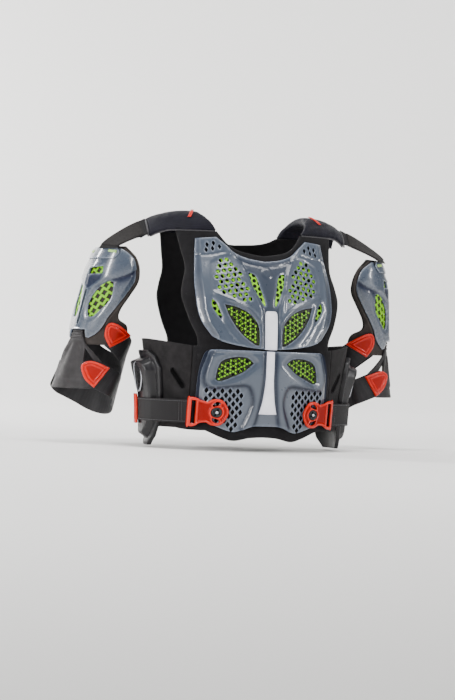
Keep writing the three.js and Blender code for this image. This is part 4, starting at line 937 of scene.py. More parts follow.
CHEST_PLATE = [
    [(0, -67), (28, -63), (48, -55), (63, -42), (77, -30)],
    [(77, -30), (108, -33)],
    [(108, -33), (112, -66), (116, -100), (116, -123), (114.5, -147), (108, -168), (93, -190)],
    [(93, -190), (74, -199), (40, -205.5), (0, -209)],
]
WING = [
    [(50, -58), (77, -20)],
    [(77, -20), (130, -25)],
    [(130, -25), (130, -215)],
    [(130, -215), (15, -215)],
    [(15, -215), (13.5, -166), (15, -143), (22, -124), (31, -101), (36, -82), (50, -58)],
]
INNER_SLOT = [
    [(31, -86), (27, -105), (18, -125), (10, -139)],
    [(10, -139), (8, -136), (13, -115), (20, -91), (31, -86)],
]
OUTER_SLOT = [
    [(93, -130), (94, -141), (88, -153), (81, -162)],
    [(81, -162), (79, -158), (83, -147), (87, -137), (93, -130)],
]
LEAF_VENT = [
    [(74, -139), (57, -142), (38, -151), (24, -166), (19.5, -183), (19.5, -202)],
    [(19.5, -202), (27, -201), (49, -184), (66, -160), (74, -139)],
]
PERFORATED_PANEL = [(88, -73), (69, -62), (54, -61), (41, -80), (34, -103), (27, -133), (25, -146),
                    (46, -135), (73, -124), (87, -117), (91, -95)]
HOLE, HOLE_PITCH, HOLE_ROWS_FALL = 6.9, 9.6, 20
TAB_HOLES = [(92, -43), (82, -40), (94, -51.5), (84, -49), (73, -45.5)]
TAB_SEAM = [(114, -60), (92, -59.5), (66, -54)]
NECK_LIP = [(0, -76), (26, -72.5), (45, -65), (58, -54)]
CREST = ([-215, -190, -168, -147, -100, -66, -33], [80, 84, 97, 103, 105, 104, 101])


def round_hole(x, z, size, corners=12, turn=0.0):
    angles = np.linspace(0, 2 * math.pi, corners, endpoint=False) + turn
    return np.stack([x + size / 2 * np.cos(angles), z + size / 2 * np.sin(angles)], 1)


def diamond_hole(x, z, width, height):
    """A diamond with its corners taken off."""
    corners = np.array([(0, 0.5), (-0.5, 0), (0, -0.5), (0.5, 0)]) * (width, height)
    nicked = [a + (b - a) * t for a, b in zip(corners, np.roll(corners, -1, 0)) for t in (0.14, 0.86)]
    return np.array(nicked) + (x, z)


def staggered(region, pitch_x, pitch_z, margin, origin=(0, 0)):
    """Middles of staggered holes that lie well inside a region."""
    low, high = np.min(region, 0), np.max(region, 0)
    made = []
    left, right = ((end[0] - origin[0]) / pitch_x * 2 for end in (low, high))
    bottom, top = ((end[1] - origin[1]) / pitch_z for end in (low, high))
    for column in range(math.floor(left), math.ceil(right)):
        for row in range(math.floor(bottom) - 1, math.ceil(top) + 1):
            made.append((origin[0] + column * pitch_x / 2, origin[1] + (row + column % 2 / 2) * pitch_z))
    made = np.array(made)
    return made[depth_inside(made, np.array(region, float)) > margin]


def turned(points, degrees):
    """Flat points turned anticlockwise round the origin."""
    c, s = math.cos(math.radians(degrees)), math.sin(math.radians(degrees))
    return np.array(points, float) @ np.array([(c, s), (-s, c)])


def groove(points, line, width):
    return np.exp(-(distance_to(points, np.array(line, float), closed=False) / width) ** 2)


def crest(points, line, width):
    """A sharp ridge along a line."""
    return np.clip(1 - distance_to(points, np.array(line, float), closed=False) / width, 0, 1)


def dish(points, outline, reach):
    """A hollow round an opening, deepest in it."""
    return np.clip(1 + depth_inside(points, outline) / reach, 0, 1)


def hollow_under(face, outline, seat, wall=2.2):
    """The underside of a plate: a wall below its face, and down on its seat round the outline."""
    def level(flat):
        lift = np.clip(face(flat) - wall - seat, 0, None)
        return seat + lift * ramp((depth_inside(flat, outline) - 3) / 4)
    return level


def chest_face(flat):
    """Levels of the chest plate: wings with a crest and an outer bevel, dished vents, a seam and a lip."""
    p = folded(flat)
    wing = 3.3 * ramp(depth_inside(p, smooth_outline(WING, 6)) / 5 + 0.5)
    outside = p[:, 0] - np.interp(p[:, 1], *CREST)
    bevel = 0.36 * np.clip(outside, 0, 10) - 1.0 * np.clip(1 - np.abs(outside) / 4, 0, 1)
    vents = 2.3 * dish(p, smooth_outline(LEAF_VENT, 4), 8) + 1.5 * dish(p, smooth_outline(OUTER_SLOT, 4), 5)
    inner = 0.9 * dish(p, smooth_outline(INNER_SLOT, 4), 4)
    panel = 0.9 * ramp(depth_inside(p, np.array(PERFORATED_PANEL, float)) / 2 + 1.5)
    seam = 1.3 * groove(p, smooth_run(TAB_SEAM, 6), 0.9)
    lip = 1.1 * groove(p, smooth_run(NECK_LIP, 6), 1.0)
    sweep = 1.0 * groove(p, smooth_run([(80, -163), (72, -180), (56, -199)], 5), 1.2)
    brow = 2.0 * crest(p, smooth_run([(88, -121), (62, -131), (38, -144), (20, -163)], 5), 5.0)
    stud = 1.1 * ramp((9.5 - np.hypot(p[:, 0], p[:, 1] + 86)) / 2)
    return SHELL_FACE - 0.6 + wing - bevel - vents - inner - panel - seam - lip - sweep + brow + stud


def chest_shade(flat):
    """Painted shade on the chest plate: between the wings, on the outer bevel and round the vents."""
    p = folded(flat)
    between = 0.5 - 0.5 * ramp(depth_inside(p, smooth_outline(WING, 6)) / 5 + 0.5)
    outer = 0.4 * ramp((p[:, 0] - np.interp(p[:, 1], *CREST)) / 4)
    vents = 0.7 * dish(p, smooth_outline(LEAF_VENT, 4), 7) + 0.5 * dish(p, smooth_outline(OUTER_SLOT, 4), 4)
    return np.clip(np.maximum(between, outer) + vents, 0, 1)


def build_chest_plate(nylon):
    wing = smooth_outline(WING)
    outline = mirrored_outline(CHEST_PLATE)
    level_panel = turned(PERFORATED_PANEL, -HOLE_ROWS_FALL)
    panel = turned(staggered(level_panel, HOLE_PITCH * 1.73, HOLE_PITCH, 3.0, (4, 2)), HOLE_ROWS_FALL)
    holes = [smooth_outline(runs, 1.6) for runs in (INNER_SLOT, OUTER_SLOT, LEAF_VENT)]
    holes += [round_hole(x, z, HOLE) for x, z in panel]
    holes += [diamond_hole(x, z, 6, 10) for x, z in TAB_HOLES]
    lines = [TAB_SEAM, NECK_LIP, wing + (2.2, 0), wing - (2.2, 0), np.array(CREST).T[:, ::-1]]
    lines += [np.array(line, float) * (-1, 1) for line in lines]
    plate = moulding("chest_plate", on_front, outline, both_sides(holes), chest_face,
                     hollow_under(chest_face, outline, SHELL_SEAT), spacing=2.3, edge=0.7, lines=lines,
                     shade=chest_shade)
    finished(plate, nylon, "shell", "chest_shell")


BELLY_PLATE = [
    [(0, -211), (91, -211)],
    [(91, -211), (100, -214.5), (104.5, -224), (109.5, -246), (111, -280), (110, -303), (103, -323)],
    [(103, -323), (80, -333), (56, -341), (42, -339), (24, -332), (0, -331)],
]
BELLY_BODY = [
    [(10, -205), (84, -205)],
    [(84, -205), (93, -217), (98, -232), (102, -250), (102, -263), (97, -270)],
    [(97, -270), (89, -272), (56, -268), (38, -266.5), (29.5, -274), (26, -298), (40, -336)],
    [(40, -336), (34, -345)],
    [(34, -345), (24, -335), (18, -316), (11, -262), (10, -205)],
]
BELLY_VENT = [
    [(28, -231), (38, -223), (57, -222), (76, -228), (83, -240), (86, -258)],
    [(86, -258), (79, -261), (62, -254), (44, -245), (28, -231)],
]
GRILLE = [(38, -271), (102, -271), (103, -303), (86, -328), (56, -341), (44, -337), (36, -300)]
GRILLE_ORIGIN = (44, -283)
# Pale strips down the middle of the plates: painted reflection of the studio light on the middle facets
PALE_STRIPS = [
    ("chest_strip", "chest_inlay", [[(0, -147), (6, -147)],
                                    [(6, -147), (10, -152), (10.3, -180), (10, -208.6)],
                                    [(10, -208.6), (0, -208.9)]]),
    ("belly_strip", "belly_inlay", [[(0, -211.6), (6.6, -211.6)],
                                    [(6.6, -211.6), (6.6, -240), (7, -262), (10, -290), (15, -311.5)],
                                    [(15, -311.5), (0, -312)]]),
]


def belly_face(flat):
    """Levels of the belly plate: a raised body that steps down to the diamond grilles."""
    p = folded(flat)
    low = np.interp(p[:, 0], [22, 32], [SHELL_FACE - 0.2, 3.4])
    body = (8.0 - low) * ramp(depth_inside(p, smooth_outline(BELLY_BODY, 5)) / 8 + 0.55)
    vents = 2.4 * dish(p, smooth_outline(BELLY_VENT, 4), 9)
    outside = p[:, 0] - np.interp(p[:, 1], [-345, -303, -246, -214], [98, 102, 101, 90])
    bevel = 0.3 * np.clip(outside, 0, 8) - 0.6 * np.clip(1 - np.abs(outside) / 4, 0, 1)
    collar = 0.9 * groove(p, smooth_run([(0, -216), (60, -216), (92, -218), (98, -232)], 6), 0.9)
    return low + body - vents - bevel - collar


def belly_shade(flat):
    """Painted shade on the belly plate: down the steps, on the outer bevel and round the vents."""
    p = folded(flat)
    step = np.exp(-((depth_inside(p, smooth_outline(BELLY_BODY, 5)) + 0.5) / 3.6) ** 2)
    outer = 0.3 * ramp((p[:, 0] - 106) / 4)
    return np.clip(np.maximum(0.85 * step, outer) + 0.6 * dish(p, smooth_outline(BELLY_VENT, 4), 7), 0, 1)


def build_belly_plate(nylon):
    body = smooth_outline(BELLY_BODY)
    diamonds = staggered(GRILLE, 11.8, 13.4, 3.6, GRILLE_ORIGIN)
    holes = [smooth_outline(BELLY_VENT, 1.6)] + [diamond_hole(x, z, 7.3, 10.6) for x, z in diamonds]
    lines = [body + (0, 3.5), body - (0, 3.5), body + (3, 0), body - (3, 0)]
    lines += [line * (-1, 1) for line in lines]
    outline = mirrored_outline(BELLY_PLATE)
    plate = moulding("belly_plate", on_front, outline, both_sides(holes), belly_face,
                     hollow_under(belly_face, outline, SHELL_SEAT), spacing=2.4, edge=0.8, lines=lines,
                     shade=belly_shade)
    finished(plate, nylon, "shell", "belly_shell")


# Painted reflection: pale strips where the middle facets show the bright studio light
def build_strips():
    reflection_paint = painted_reflection_strip()
    for name, node, runs in PALE_STRIPS:
        strip = moulding(name, on_front, mirrored_outline(runs), face=SHELL_FACE + 1.9, seat=SHELL_FACE + 0.2,
                         spacing=3, edge=0.8)
        finished(strip, reflection_paint, "inlay", node)


# Bright nets behind the vents, each under a thin dark gasket

def star_hole(x, z, size):
    """A hole with four short points, as the arm nets have."""
    angles = np.arange(8) * math.pi / 4 + 0.4
    reach = np.where(np.arange(8) % 2 == 0, 0.66, 0.42) * size
    return np.stack([x + reach * np.cos(angles), z + reach * np.sin(angles)], 1)


def net(name, surface, region, seat, hole, size, pitch, thickness=1.0):
    """A moulded net cut to a region, with staggered holes. Its seat is a function of the flat points."""
    region = np.array(region, float)
    holes = [hole(x, z, size) for x, z in staggered(region, pitch * 1.73, pitch, size * 0.62)]
    return moulding(name, surface, region, holes, lambda flat: seat(flat) + thickness, seat, spacing=3.6,
                    edge=0.3)


CHEST_NET = [(4, -84), (50, -60), (98, -62), (104, -120), (98, -165), (74, -186), (20, -206), (4, -206)]
BELLY_NET = [(16, -217), (92, -217), (100, -268), (60, -264), (16, -240)]


def gasket(name, surface, openings, level):
    """Dark rims moulded round openings."""
    rings = [inner_ring(resampled(opening, 1.5), -0.2) for opening in openings]
    return tube(name, [lay_ring(surface, ring, level, 1.6) for ring in rings], GASKET_RADIUS, closed=True)


def build_front_nets(bright, smoky, black):
    fronts = [("chest", CHEST_PLATE, chest_face, CHEST_NET, "leaf", LEAF_VENT),
              ("belly", BELLY_PLATE, belly_face, BELLY_NET, "belly", BELLY_VENT)]
    for name, plate, face, region, vent, opening in fronts:
        under = hollow_under(face, mirrored_outline(plate), SHELL_SEAT)

        def net_seat(flat, under=under):
            return under(flat) - 1.3

        def film_seat(flat, under=under):
            return under(flat) - 0.15

        left = net(f"{name}_net_left", on_front, region, net_seat, round_hole, 6.2, 8.6)
        finished(left, bright, "bright", f"{name}_vent_liner")
        finished(mirrored(left, f"{name}_net_right"), bright, "bright")
        cut = resampled(smooth_outline(opening, 2.5), 2.5)
        film = net(f"{vent}_film_left", on_front, inner_ring(cut, 0.3), film_seat, round_hole, 3.7, 4.9, 0.35)
        finished_pair(film, smoky, "foam")
    for name, face, opening in (("leaf", chest_face, LEAF_VENT), ("belly", belly_face, BELLY_VENT)):
        openings = both_sides([smooth_outline(opening, 2)])
        rim = gasket(f"{name}_gasket", on_front, openings, lambda line, face=face: face(line) - 0.7)
        finished(rim, black, "foam")


# Back plates

BACK_PLATE = [[(0, -52.4), (47.7, -46), (93.3, -50.8), (103.9, -86), (100.7, -145), (84.8, -194.8),
               (42.4, -204.4), (0, -206)]]
BACK_RIDGE = [[(0, -62), (21.2, -68.4), (31.8, -126), (25.4, -193.2), (0, -198)]]
LUMBAR_PLATE = [[(0, -208), (84.2, -208)],
                [(84.2, -208), (100.4, -223.4), (104.8, -259.2), (100.4, -307.8), (77.8, -325.8),
                 (37.8, -334.7), (0, -336)]]
LUMBAR_RIDGE = [[(0, -214.4), (21.6, -215.7), (28.1, -272), (38.9, -323.2), (0, -327)]]
BACK_RIB_PITCH = 32
BACK_SLOTS = [np.array([(47.7, -86), (84.8, -78), (86.9, -87.6), (49.8, -98.8)]) - (0, BACK_RIB_PITCH * k)
              for k in range(3)]


def back_face(ridge, slots=()):
    def level(flat):
        p = folded(flat)
        rise = RELIEF * ramp(depth_inside(p, ridge) / 4 + 0.5)
        hollow = sum((1.3 * dish(p, slot, 5) for slot in slots), 0 * rise)
        waves = 0.5 * (1 + np.cos(p[:, 1] * 2 * math.pi / BACK_RIB_PITCH))
        across = ramp((p[:, 0] - 30) / 12) * ramp((86 - p[:, 0]) / 12)
        return BACK_SEAT + 3 + rise - hollow + waves * across
    return level


def slope_shade(outline, reach):
    """Painted shade down the step round a raised outline."""
    def shade(flat):
        p = folded(flat)
        return np.exp(-((depth_inside(p, outline) + 0.5) / reach) ** 2)
    return shade


def build_back_plates(nylon):
    ridge = smooth_outline([BACK_RIDGE[0], [(0, -198), (0, -62)]], 5)
    plate = moulding("back_plate", on_back, mirrored_outline(BACK_PLATE), both_sides(BACK_SLOTS),
                     back_face(ridge, BACK_SLOTS), BACK_SEAT, spacing=3, edge=0.8,
                     shade=slope_shade(ridge, 3))
    finished(plate, nylon, "shell", "back_shell")
    ridge = smooth_outline([LUMBAR_RIDGE[0], [(0, -327), (0, -214.4)]], 5)
    plate = moulding("lumbar_plate", on_back, mirrored_outline(LUMBAR_PLATE), (), back_face(ridge), BACK_SEAT,
                     spacing=3, edge=0.8, shade=slope_shade(ridge, 3))
    finished(plate, nylon, "shell", "lumbar_shell")


# Side wraps, side guards and waist webbing

SIDE_ROWS = ([-369, -353.7, -326.2, -284.9, -243.5, -225.2, -216], [11.2, 19, 24.6, 26.9, 28, 24.1, 17.4])
SIDE_RISES = ([-369, -353.7, -326.2, -284.9, -243.5, -225.2, -216], [0.8, 0.85, 0.85, 0.85, 1.2, 1.2, 1.15])
SIDE_MIDDLE = 95
SIDE_WINDOW = [(0.5, 0.32), (0.5, -0.1), (0.1, -0.5), (-0.5, -0.28), (-0.5, 0.3), (0, 0.5)]
WINDOW_MIDDLE, WINDOW_HEIGHT = 86, -258.8


def side_pad_outline():
    z = np.linspace(-369, -216, 50)
    half = np.interp(z, *SIDE_ROWS)
    front = np.stack([(SIDE_MIDDLE - half) * FLANK_STEP, z], 1)
    back = np.stack([(SIDE_MIDDLE + half) * FLANK_STEP, z], 1)
    return np.vstack([front, back[::-1]])


def window_outline(grow=0.0):
    knots = np.array([*SIDE_WINDOW, SIDE_WINDOW[0]]) * (-34 - grow, 46 + grow)
    return smooth_outline([knots + (WINDOW_MIDDLE * FLANK_STEP, WINDOW_HEIGHT)], 1.5)


def side_pad_face(flat):
    """Levels of the side guard: a grooved flange, a swelling body with a crest, and a window pocket."""
    inset = depth_inside(flat, side_pad_outline())
    body = PAD_SEAT + SIDE_PAD_RISE * np.interp(flat[:, 1], *SIDE_RISES)
    across = np.abs(flat[:, 0] - SIDE_MIDDLE * FLANK_STEP)
    rise = (body - FLANGE_FACE) * ramp((inset - 12) / 8)
    spine = 1.1 * np.exp(-(across / 5) ** 2) * ramp((inset - 24) / 10)
    channel = 1.6 * np.exp(-((inset - 11) / 1.5) ** 2)
    pocket = 4.6 * ramp(depth_inside(flat, window_outline()) / 1.5 + 0.5)
    return FLANGE_FACE + rise + spine - channel - pocket


def build_side_guards(rubber, black, silver):
    window = window_outline()
    guard = moulding("side_guard_left", on_flank, side_pad_outline(), (), side_pad_face, PAD_SEAT, spacing=3,
                     edge=1.8, lines=[window, window_outline(3)])
    for piece in finished_pair(guard, rubber, "side_foam", "side_pad"):
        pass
    floor = PAD_SEAT + SIDE_PAD_RISE * float(np.interp(WINDOW_HEIGHT, *SIDE_RISES)) - 4.4
    mesh = net("side_net_left", on_flank, window, lambda flat: 0 * flat[:, 0] + floor, round_hole, 3.4, 4.4)
    finished_pair(mesh, black, "side_mesh", "side_vent")
    rim = tube("side_rim_left", [lay_ring(on_flank, window, floor + 4.2)], 1.0, closed=True)
    finished_pair(rim, silver, "inlay")


WRAP_SLOT_ANGLE, WRAP_SLOT_HEIGHT, WRAP_SLOT_TILT = 55, -258.8, 40


def wrap_outline():
    """The wrap's edges, against the front and back padding, with an arched top."""
    heights = np.linspace(-338, -206, 24)
    front = [(flank_angle(FRONT, 118.6, z, -3) * FLANK_STEP, z) for z in heights]
    back = [(flank_angle(BACK, 118.6, z, -3) * FLANK_STEP, z) for z in heights]
    shares = np.linspace(0, 1, 30)[1:-1]
    start, end = front[-1][0], back[-1][0]
    top = [(start + (end - start) * t, -206 + 9 * math.sin(math.pi * t)) for t in shares]
    return np.array(front + top + back[::-1])


def wrap_slot():
    turn = math.radians(WRAP_SLOT_TILT)
    quarter = np.array([(5.5, 15.5), (4.2, 18.6), (1.6, 20)])
    corners = np.vstack([quarter, (quarter * (-1, 1))[::-1], -quarter, (quarter * (1, -1))[::-1]])
    x = corners[:, 0] * math.cos(turn) + corners[:, 1] * math.sin(turn)
    z = corners[:, 1] * math.cos(turn) - corners[:, 0] * math.sin(turn)
    return np.stack([WRAP_SLOT_ANGLE * FLANK_STEP + x, WRAP_SLOT_HEIGHT + z], 1)


def build_wraps(binding):
    jersey = foam_jersey("stretch_wrap_jersey", "#141314", "#262425")
    slot = wrap_slot()

    def level(flat):
        fold = 0.5 * np.sin(flat[:, 1] / 11) * np.sin(flat[:, 0] / 23)
        seam = 0.5 * groove(flat, [(176, -338), (170, -270), (186, -206)], 1.2)
        return -2.2 + fold * ramp(distance_to(flat, slot) / 10) - seam

    wrap = moulding("side_panel_left", on_flank, wrap_outline(), [slot], level,
                    lambda flat: level(flat) - 2.6, spacing=4, edge=0.9, soft=True)
    for piece in finished_pair(wrap, jersey, "foam", "side_wrap"):
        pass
    rim = tube("wrap_slot_rim_left", [lay_ring(on_flank, slot, -2.0)], 0.8, closed=True)
    finished_pair(rim, binding, "foam")


FRONT_STRAP_LEVEL, BACK_STRAP_LEVEL = 2.6, 0.4


def strap_levels(side):
    """Angles and levels of the webbing from where it starts on the front or back up over the side guard."""
    low = FRONT_STRAP_LEVEL if side == FRONT else BACK_STRAP_LEVEL

    def at(x):
        return flank_angle(side, x, -STRAP_DROP, low)

    levels = [low, low, (low + STRAP_SEAT) / 2, STRAP_SEAT, STRAP_SEAT]
    if side == FRONT:
        return [at(113), at(125.4), (at(125.4) + 71.5) / 2, 71.5, 93.5], levels
    return [96.5, 118.5, (at(113) + 118.5) / 2, at(113), at(105)], levels[::-1]


def build_straps(webbing, grey_thread):
    for name, node, side in (("waist_webbing", "waist_strap", FRONT), ("back_webbing", "back_strap", BACK)):
        angles, levels = strap_levels(side)
        along = np.array(angles) * FLANK_STEP
        start, end = along[0], along[-1]
        low, high = -STRAP_DROP - STRAP_WIDTH / 2, -STRAP_DROP + STRAP_WIDTH / 2
        outline = np.array([(start, low), (start, high), (end, high), (end, low)])

        def seat(flat, along=along, levels=levels):
            return np.interp(flat[:, 0], along, levels)

        def face(flat, seat=seat):
            return seat(flat) + WEBBING

        strap = moulding(f"{name}_left", on_flank, outline, (), face, seat, spacing=2.5, edge=0.7)
        for piece in finished_pair(strap, webbing, "textile", node):
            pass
        rows = [np.array([(start + 4, z), (end - 4, z)]) for z in (low + 2.4, high - 2.4)]
        inner = start + 22 if side == FRONT else end - 20
        rows += [np.array([(inner + k, low + 4), (inner + k, high - 4)]) for k in (0, 5)]
        sewn = stitches(f"{name}_stitching_left", on_flank, [smooth_run(row, 2) for row in rows], face)
        finished_pair(sewn, grey_thread, "textile")


def build_side_clips(red):
    seat = STRAP_SEAT + WEBBING + 0.4
    middle = SIDE_MIDDLE * FLANK_STEP
    corners = [(-12, -22), (-10, -24), (10, -24), (12, -22), (12, 22), (10, 24), (-10, 24), (-12, 22)]
    outline = np.array(corners) + (middle, -STRAP_DROP)
    slot = np.array([(-3, -18), (3, -18), (3, 18), (-3, 18)])
    slots = [slot + (middle + x, -STRAP_DROP) for x in (-6, 6)]

    def face(flat):
        return seat + 4.6 - 1.2 * (np.abs(flat[:, 0] - middle) / 12) ** 2

    clip = moulding("side_buckle_left", on_flank, outline, slots, face, seat, spacing=2.5, edge=1.2)
    finished_pair(clip, red, "red", "side_clip")


# Waist buckles

HUB_X = 82
BUCKLE_SEAT, BUCKLE_LENGTH, BUCKLE_HEIGHT = 5.2, 60, 46
BUCKLE_RUNS = [
    [(0.66, 0.5), (0.69, 0.46), (0.69, -0.46), (0.66, -0.5)],
    [(0.66, -0.5), (0.55, -0.5), (0.36, -0.37), (0.22, -0.36)],
    [(0.22, -0.36), (0.06, -0.46), (-0.16, -0.4), (-0.31, 0), (-0.16, 0.4), (0.06, 0.46), (0.22, 0.36)],
    [(0.22, 0.36), (0.36, 0.4), (0.55, 0.5), (0.66, 0.5)],
]
BUCKLE_SLOT = [[(0.5, 0.4), (0.62, 0.4)], [(0.62, 0.4), (0.62, -0.4)], [(0.62, -0.4), (0.5, -0.4)],
               [(0.5, -0.4), (0.5, 0.4)]]
BUCKLE_EAR = [[(-0.07, 0.25), (0.1, 0.19), (0.09, 0.3), (0.0, 0.37), (-0.1, 0.33), (-0.07, 0.25)]]


def on_buckle(runs, step=1.5, flip=1):
    """Runs given in shares of the buckle's length and height, from its hub."""
    size, hub = (BUCKLE_LENGTH, flip * BUCKLE_HEIGHT), (HUB_X, -STRAP_DROP)
    return smooth_outline([np.array(run) * size + hub for run in runs], step)


def buckle_relief(flat):
    """What stands proud on the buckle: its rim, a collar round the hub, rims round the ears, and a bar."""
    inset = depth_inside(flat, on_buckle(BUCKLE_RUNS, 3))
    from_hub = np.hypot(flat[:, 0] - HUB_X, flat[:, 1] + STRAP_DROP)
    ears = [on_buckle(BUCKLE_EAR, 3, flip) for flip in (1, -1)]
    rim = np.exp(-((inset - 1.8) / 1.3) ** 2)
    collar = np.exp(-((from_hub - 10) / 1.4) ** 2)
    ear_rims = sum(np.exp(-((distance_to(flat, ear) - 1) / 1) ** 2) for ear in ears)
    bar = ramp((flat[:, 0] - HUB_X - 26) / 2)
    return np.clip(rim + collar + ear_rims + bar, 0, 1.2)


def buckle_face(flat):
    return BUCKLE_SEAT + 3.8 + 1.9 * buckle_relief(flat)


def buckle_shade(flat):
    """Painted shade in the buckle's recesses, where nothing stands proud."""
    return 0.75 * np.clip(1 - 1.3 * buckle_relief(flat), 0, 1)


def build_buckles(red, black, silver):
    hub_hole = round_hole(HUB_X, -STRAP_DROP, 17, 24)
    holes = [on_buckle(BUCKLE_SLOT), on_buckle(BUCKLE_EAR), on_buckle(BUCKLE_EAR, flip=-1), hub_hole]
    body = moulding("waist_buckle_left", on_front, on_buckle(BUCKLE_RUNS), holes, buckle_face, BUCKLE_SEAT,
                    spacing=1.3, edge=0.9, shade=buckle_shade)
    finished_pair(body, red, "red", "buckle")
    pits = [round_hole(HUB_X + 4.1 * math.cos(t), -STRAP_DROP + 4.1 * math.sin(t), 3.6, 10)
            for t in np.arange(4) * math.pi / 2 + 0.4]

    def hub_face(flat):
        from_hub = np.hypot(flat[:, 0] - HUB_X, flat[:, 1] + STRAP_DROP)
        return BUCKLE_SEAT + 4.6 + 1.2 * ramp((2.6 - from_hub) / 1.5) + 0.5 * ramp((from_hub - 6.2) / 0.8)

    hub = moulding("buckle_hub_disc_left", on_front, round_hole(HUB_X, -STRAP_DROP, 16, 32), pits, hub_face,
                   BUCKLE_SEAT, spacing=1.2, edge=0.5)
    finished_pair(hub, black, "hub", "buckle_hub")
    button = moulding("buckle_button_left", on_front, round_hole(HUB_X, -STRAP_DROP, 4.4, 16), (),
                      BUCKLE_SEAT + 7, BUCKLE_SEAT + 5, spacing=1, edge=0.8)
    finished_pair(button, silver, "inlay")


# Shoulder pads

SHOULDER_PAD = 12
COVER_MESH, COVER_PRESSURE, COVER_FRAMES = 3, 4, 20


def puffed(piece, swell, free):
    """Swells a soft piece with cloth pressure, no point moving further than swell.

    free gives each point's share of it, nothing at a seam that is sewn down.
    """
    scene = bpy.context.scene
    remesh = piece.modifiers.new("even_mesh", "REMESH")
    remesh.mode = "VOXEL"
    remesh.voxel_size = COVER_MESH * MM
    apply_modifiers(piece)
    start = np.array([v.co for v in piece.data.vertices])
    cloth = piece.modifiers.new("cover", "CLOTH")
    cloth.settings.use_pressure = True
    cloth.settings.uniform_pressure_force = COVER_PRESSURE
    cloth.settings.effector_weights.gravity = 0
    for step in range(COVER_FRAMES):
        scene.frame_set(step + 1)
    apply_modifiers(piece)
    scene.frame_set(1)
    moved = np.array([v.co for v in piece.data.vertices]) - start
    length = np.linalg.norm(moved, axis=1)
    held = np.minimum(1, swell * MM / np.maximum(length, 1e-9)) * free(start / MM)
    piece.data.vertices.foreach_set("co", (start + moved * held[:, None]).ravel())
    piece.modifiers.new("smooth_cover", "SUBSURF").levels = 1
    piece.modifiers["smooth_cover"].render_levels = 1
    piece.data.shade_smooth()
    return piece


def apply_modifiers(piece):
    """Keeps what the modifiers made as the piece's own mesh."""
    graph = bpy.context.evaluated_depsgraph_get()
    made = bpy.data.meshes.new_from_object(piece.evaluated_get(graph))
    piece.modifiers.clear()
    piece.data = made


def shoulder_place(along, across, through, shrink=0.0):
    """Over the shoulder pad: along from front to back, across from the neck outwards."""
    inner = SHOULDER_NECK + 18 * np.sin(math.pi * along) + shrink
    x = inner + (SHOULDER_OUTER - shrink - inner) * across
    quilt = 0.8 * np.exp(-((across - 0.66) / 0.02) ** 2)
    quilt = quilt + 0.8 * np.exp(-((np.abs(along - 0.5) - 0.3) / 0.015) ** 2)
    thickness = SHOULDER_PAD - 2 * shrink - quilt * (through > 0.5)
    return over_shoulder(x, -90 + 180 * along, shrink - PADDING + through * thickness)


def build_shoulders(twill, piping, red):
    def place(along, across, through):
        return shoulder_place(along, across, through, shrink=0.5)

    def free(points):
        return ramp((points[:, 2] - SHOULDER_SEAM - 2) / 12) * ramp((SHOULDER_OUTER - 3 - points[:, 0]) / 10)

    pad = puffed(slab("shoulder_cushion_left", place, 140, 86, SHOULDER_PAD, step=3, rim=0.35), 6, free)
    for piece in finished_pair(pad, twill, "navy", "shoulder_pad"):
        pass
    shares = np.linspace(0.03, 0.97, 40)
    edges = [("front", 0 * shares, shares, 0.6), ("back", 1 + 0 * shares, shares, 0.6),
             ("outer", shares, 1 + 0 * shares, 0.9)]
    for label, along, across, through in edges:
        centres = shoulder_place(along, across, through)
        ups = shoulder_place(along, across, through + 0.2) - centres
        finished_pair(tube(f"shoulder_piping_{label}_left", [(centres, ups)], 1.5), piping, "foam")

    def tab_place(along, across, through):
        x = 108 + (across - 0.5) * 5 + (0.5 - along) * 26 * 0.45
        return over_shoulder(x, -38 - (0.5 - along) * 32, 4.4 + through * 2)

    finished_pair(slab("pull_tab_left", tab_place, 26, 5, 2, step=1.5), red, "red", "brace_tab")


LINK_PAD_TURN, LINK_ARM_ANGLE = -42, 16


def link_points():
    """The middle line of the webbing from the shoulder pad to the arm guard, with its ways across."""
    turns = np.array([-10.0, 0, 10]) + LINK_PAD_TURN
    edge = over_shoulder(np.full(3, float(SHOULDER_OUTER)), turns, np.zeros(3))
    start = edge[1] + (0.4, 0, 0)
    last = on_arm(np.array([LINK_ARM_ANGLE * ARM_STEP]), np.array([-54.65]), np.array([15.6]))[0]
    fall = np.array([0.5, 0, -1]) / math.hypot(0.5, 1)
    first_pull = start + (last - start) * 0.33 + (0, 0, 3.9)
    last_pull = last - fall * 0.3 * (start[2] - last[2])
    turn = math.radians(SPINE_TURN + LINK_ARM_ANGLE)
    start_way = (edge[0] - edge[2]) / np.linalg.norm(edge[0] - edge[2])
    return start, first_pull, last_pull, last, start_way, np.array([-math.sin(turn), -math.cos(turn), 0])


def on_link(share, aside, out):
    """A point on the link: share of the way down, millimetres aside, and a level."""
    p0, p1, p2, p3, way0, way1 = link_points()
    t = np.asarray(share)[:, None]
    p = (1 - t) ** 3 * p0 + 3 * t * (1 - t) ** 2 * p1 + 3 * t * t * (1 - t) * p2 + t**3 * p3
    along = (1 - t) ** 2 * (p1 - p0) + 2 * t * (1 - t) * (p2 - p1) + t * t * (p3 - p2)
    wide = way0 + (way1 - way0) * t
    wide /= np.linalg.norm(wide, axis=1)[:, None]
    up = np.cross(wide, along)
    up *= np.sign(up[:, 2:3]) / np.linalg.norm(up, axis=1)[:, None]
    return p + wide * np.asarray(aside)[:, None] + up * np.asarray(out)[:, None]


LINK_LAYERS = [("link_base", 0.0, 1.0, 34, 0.0, 1.4), ("link_tape", 0.12, 0.9, 32, 1.5, 3.0)]


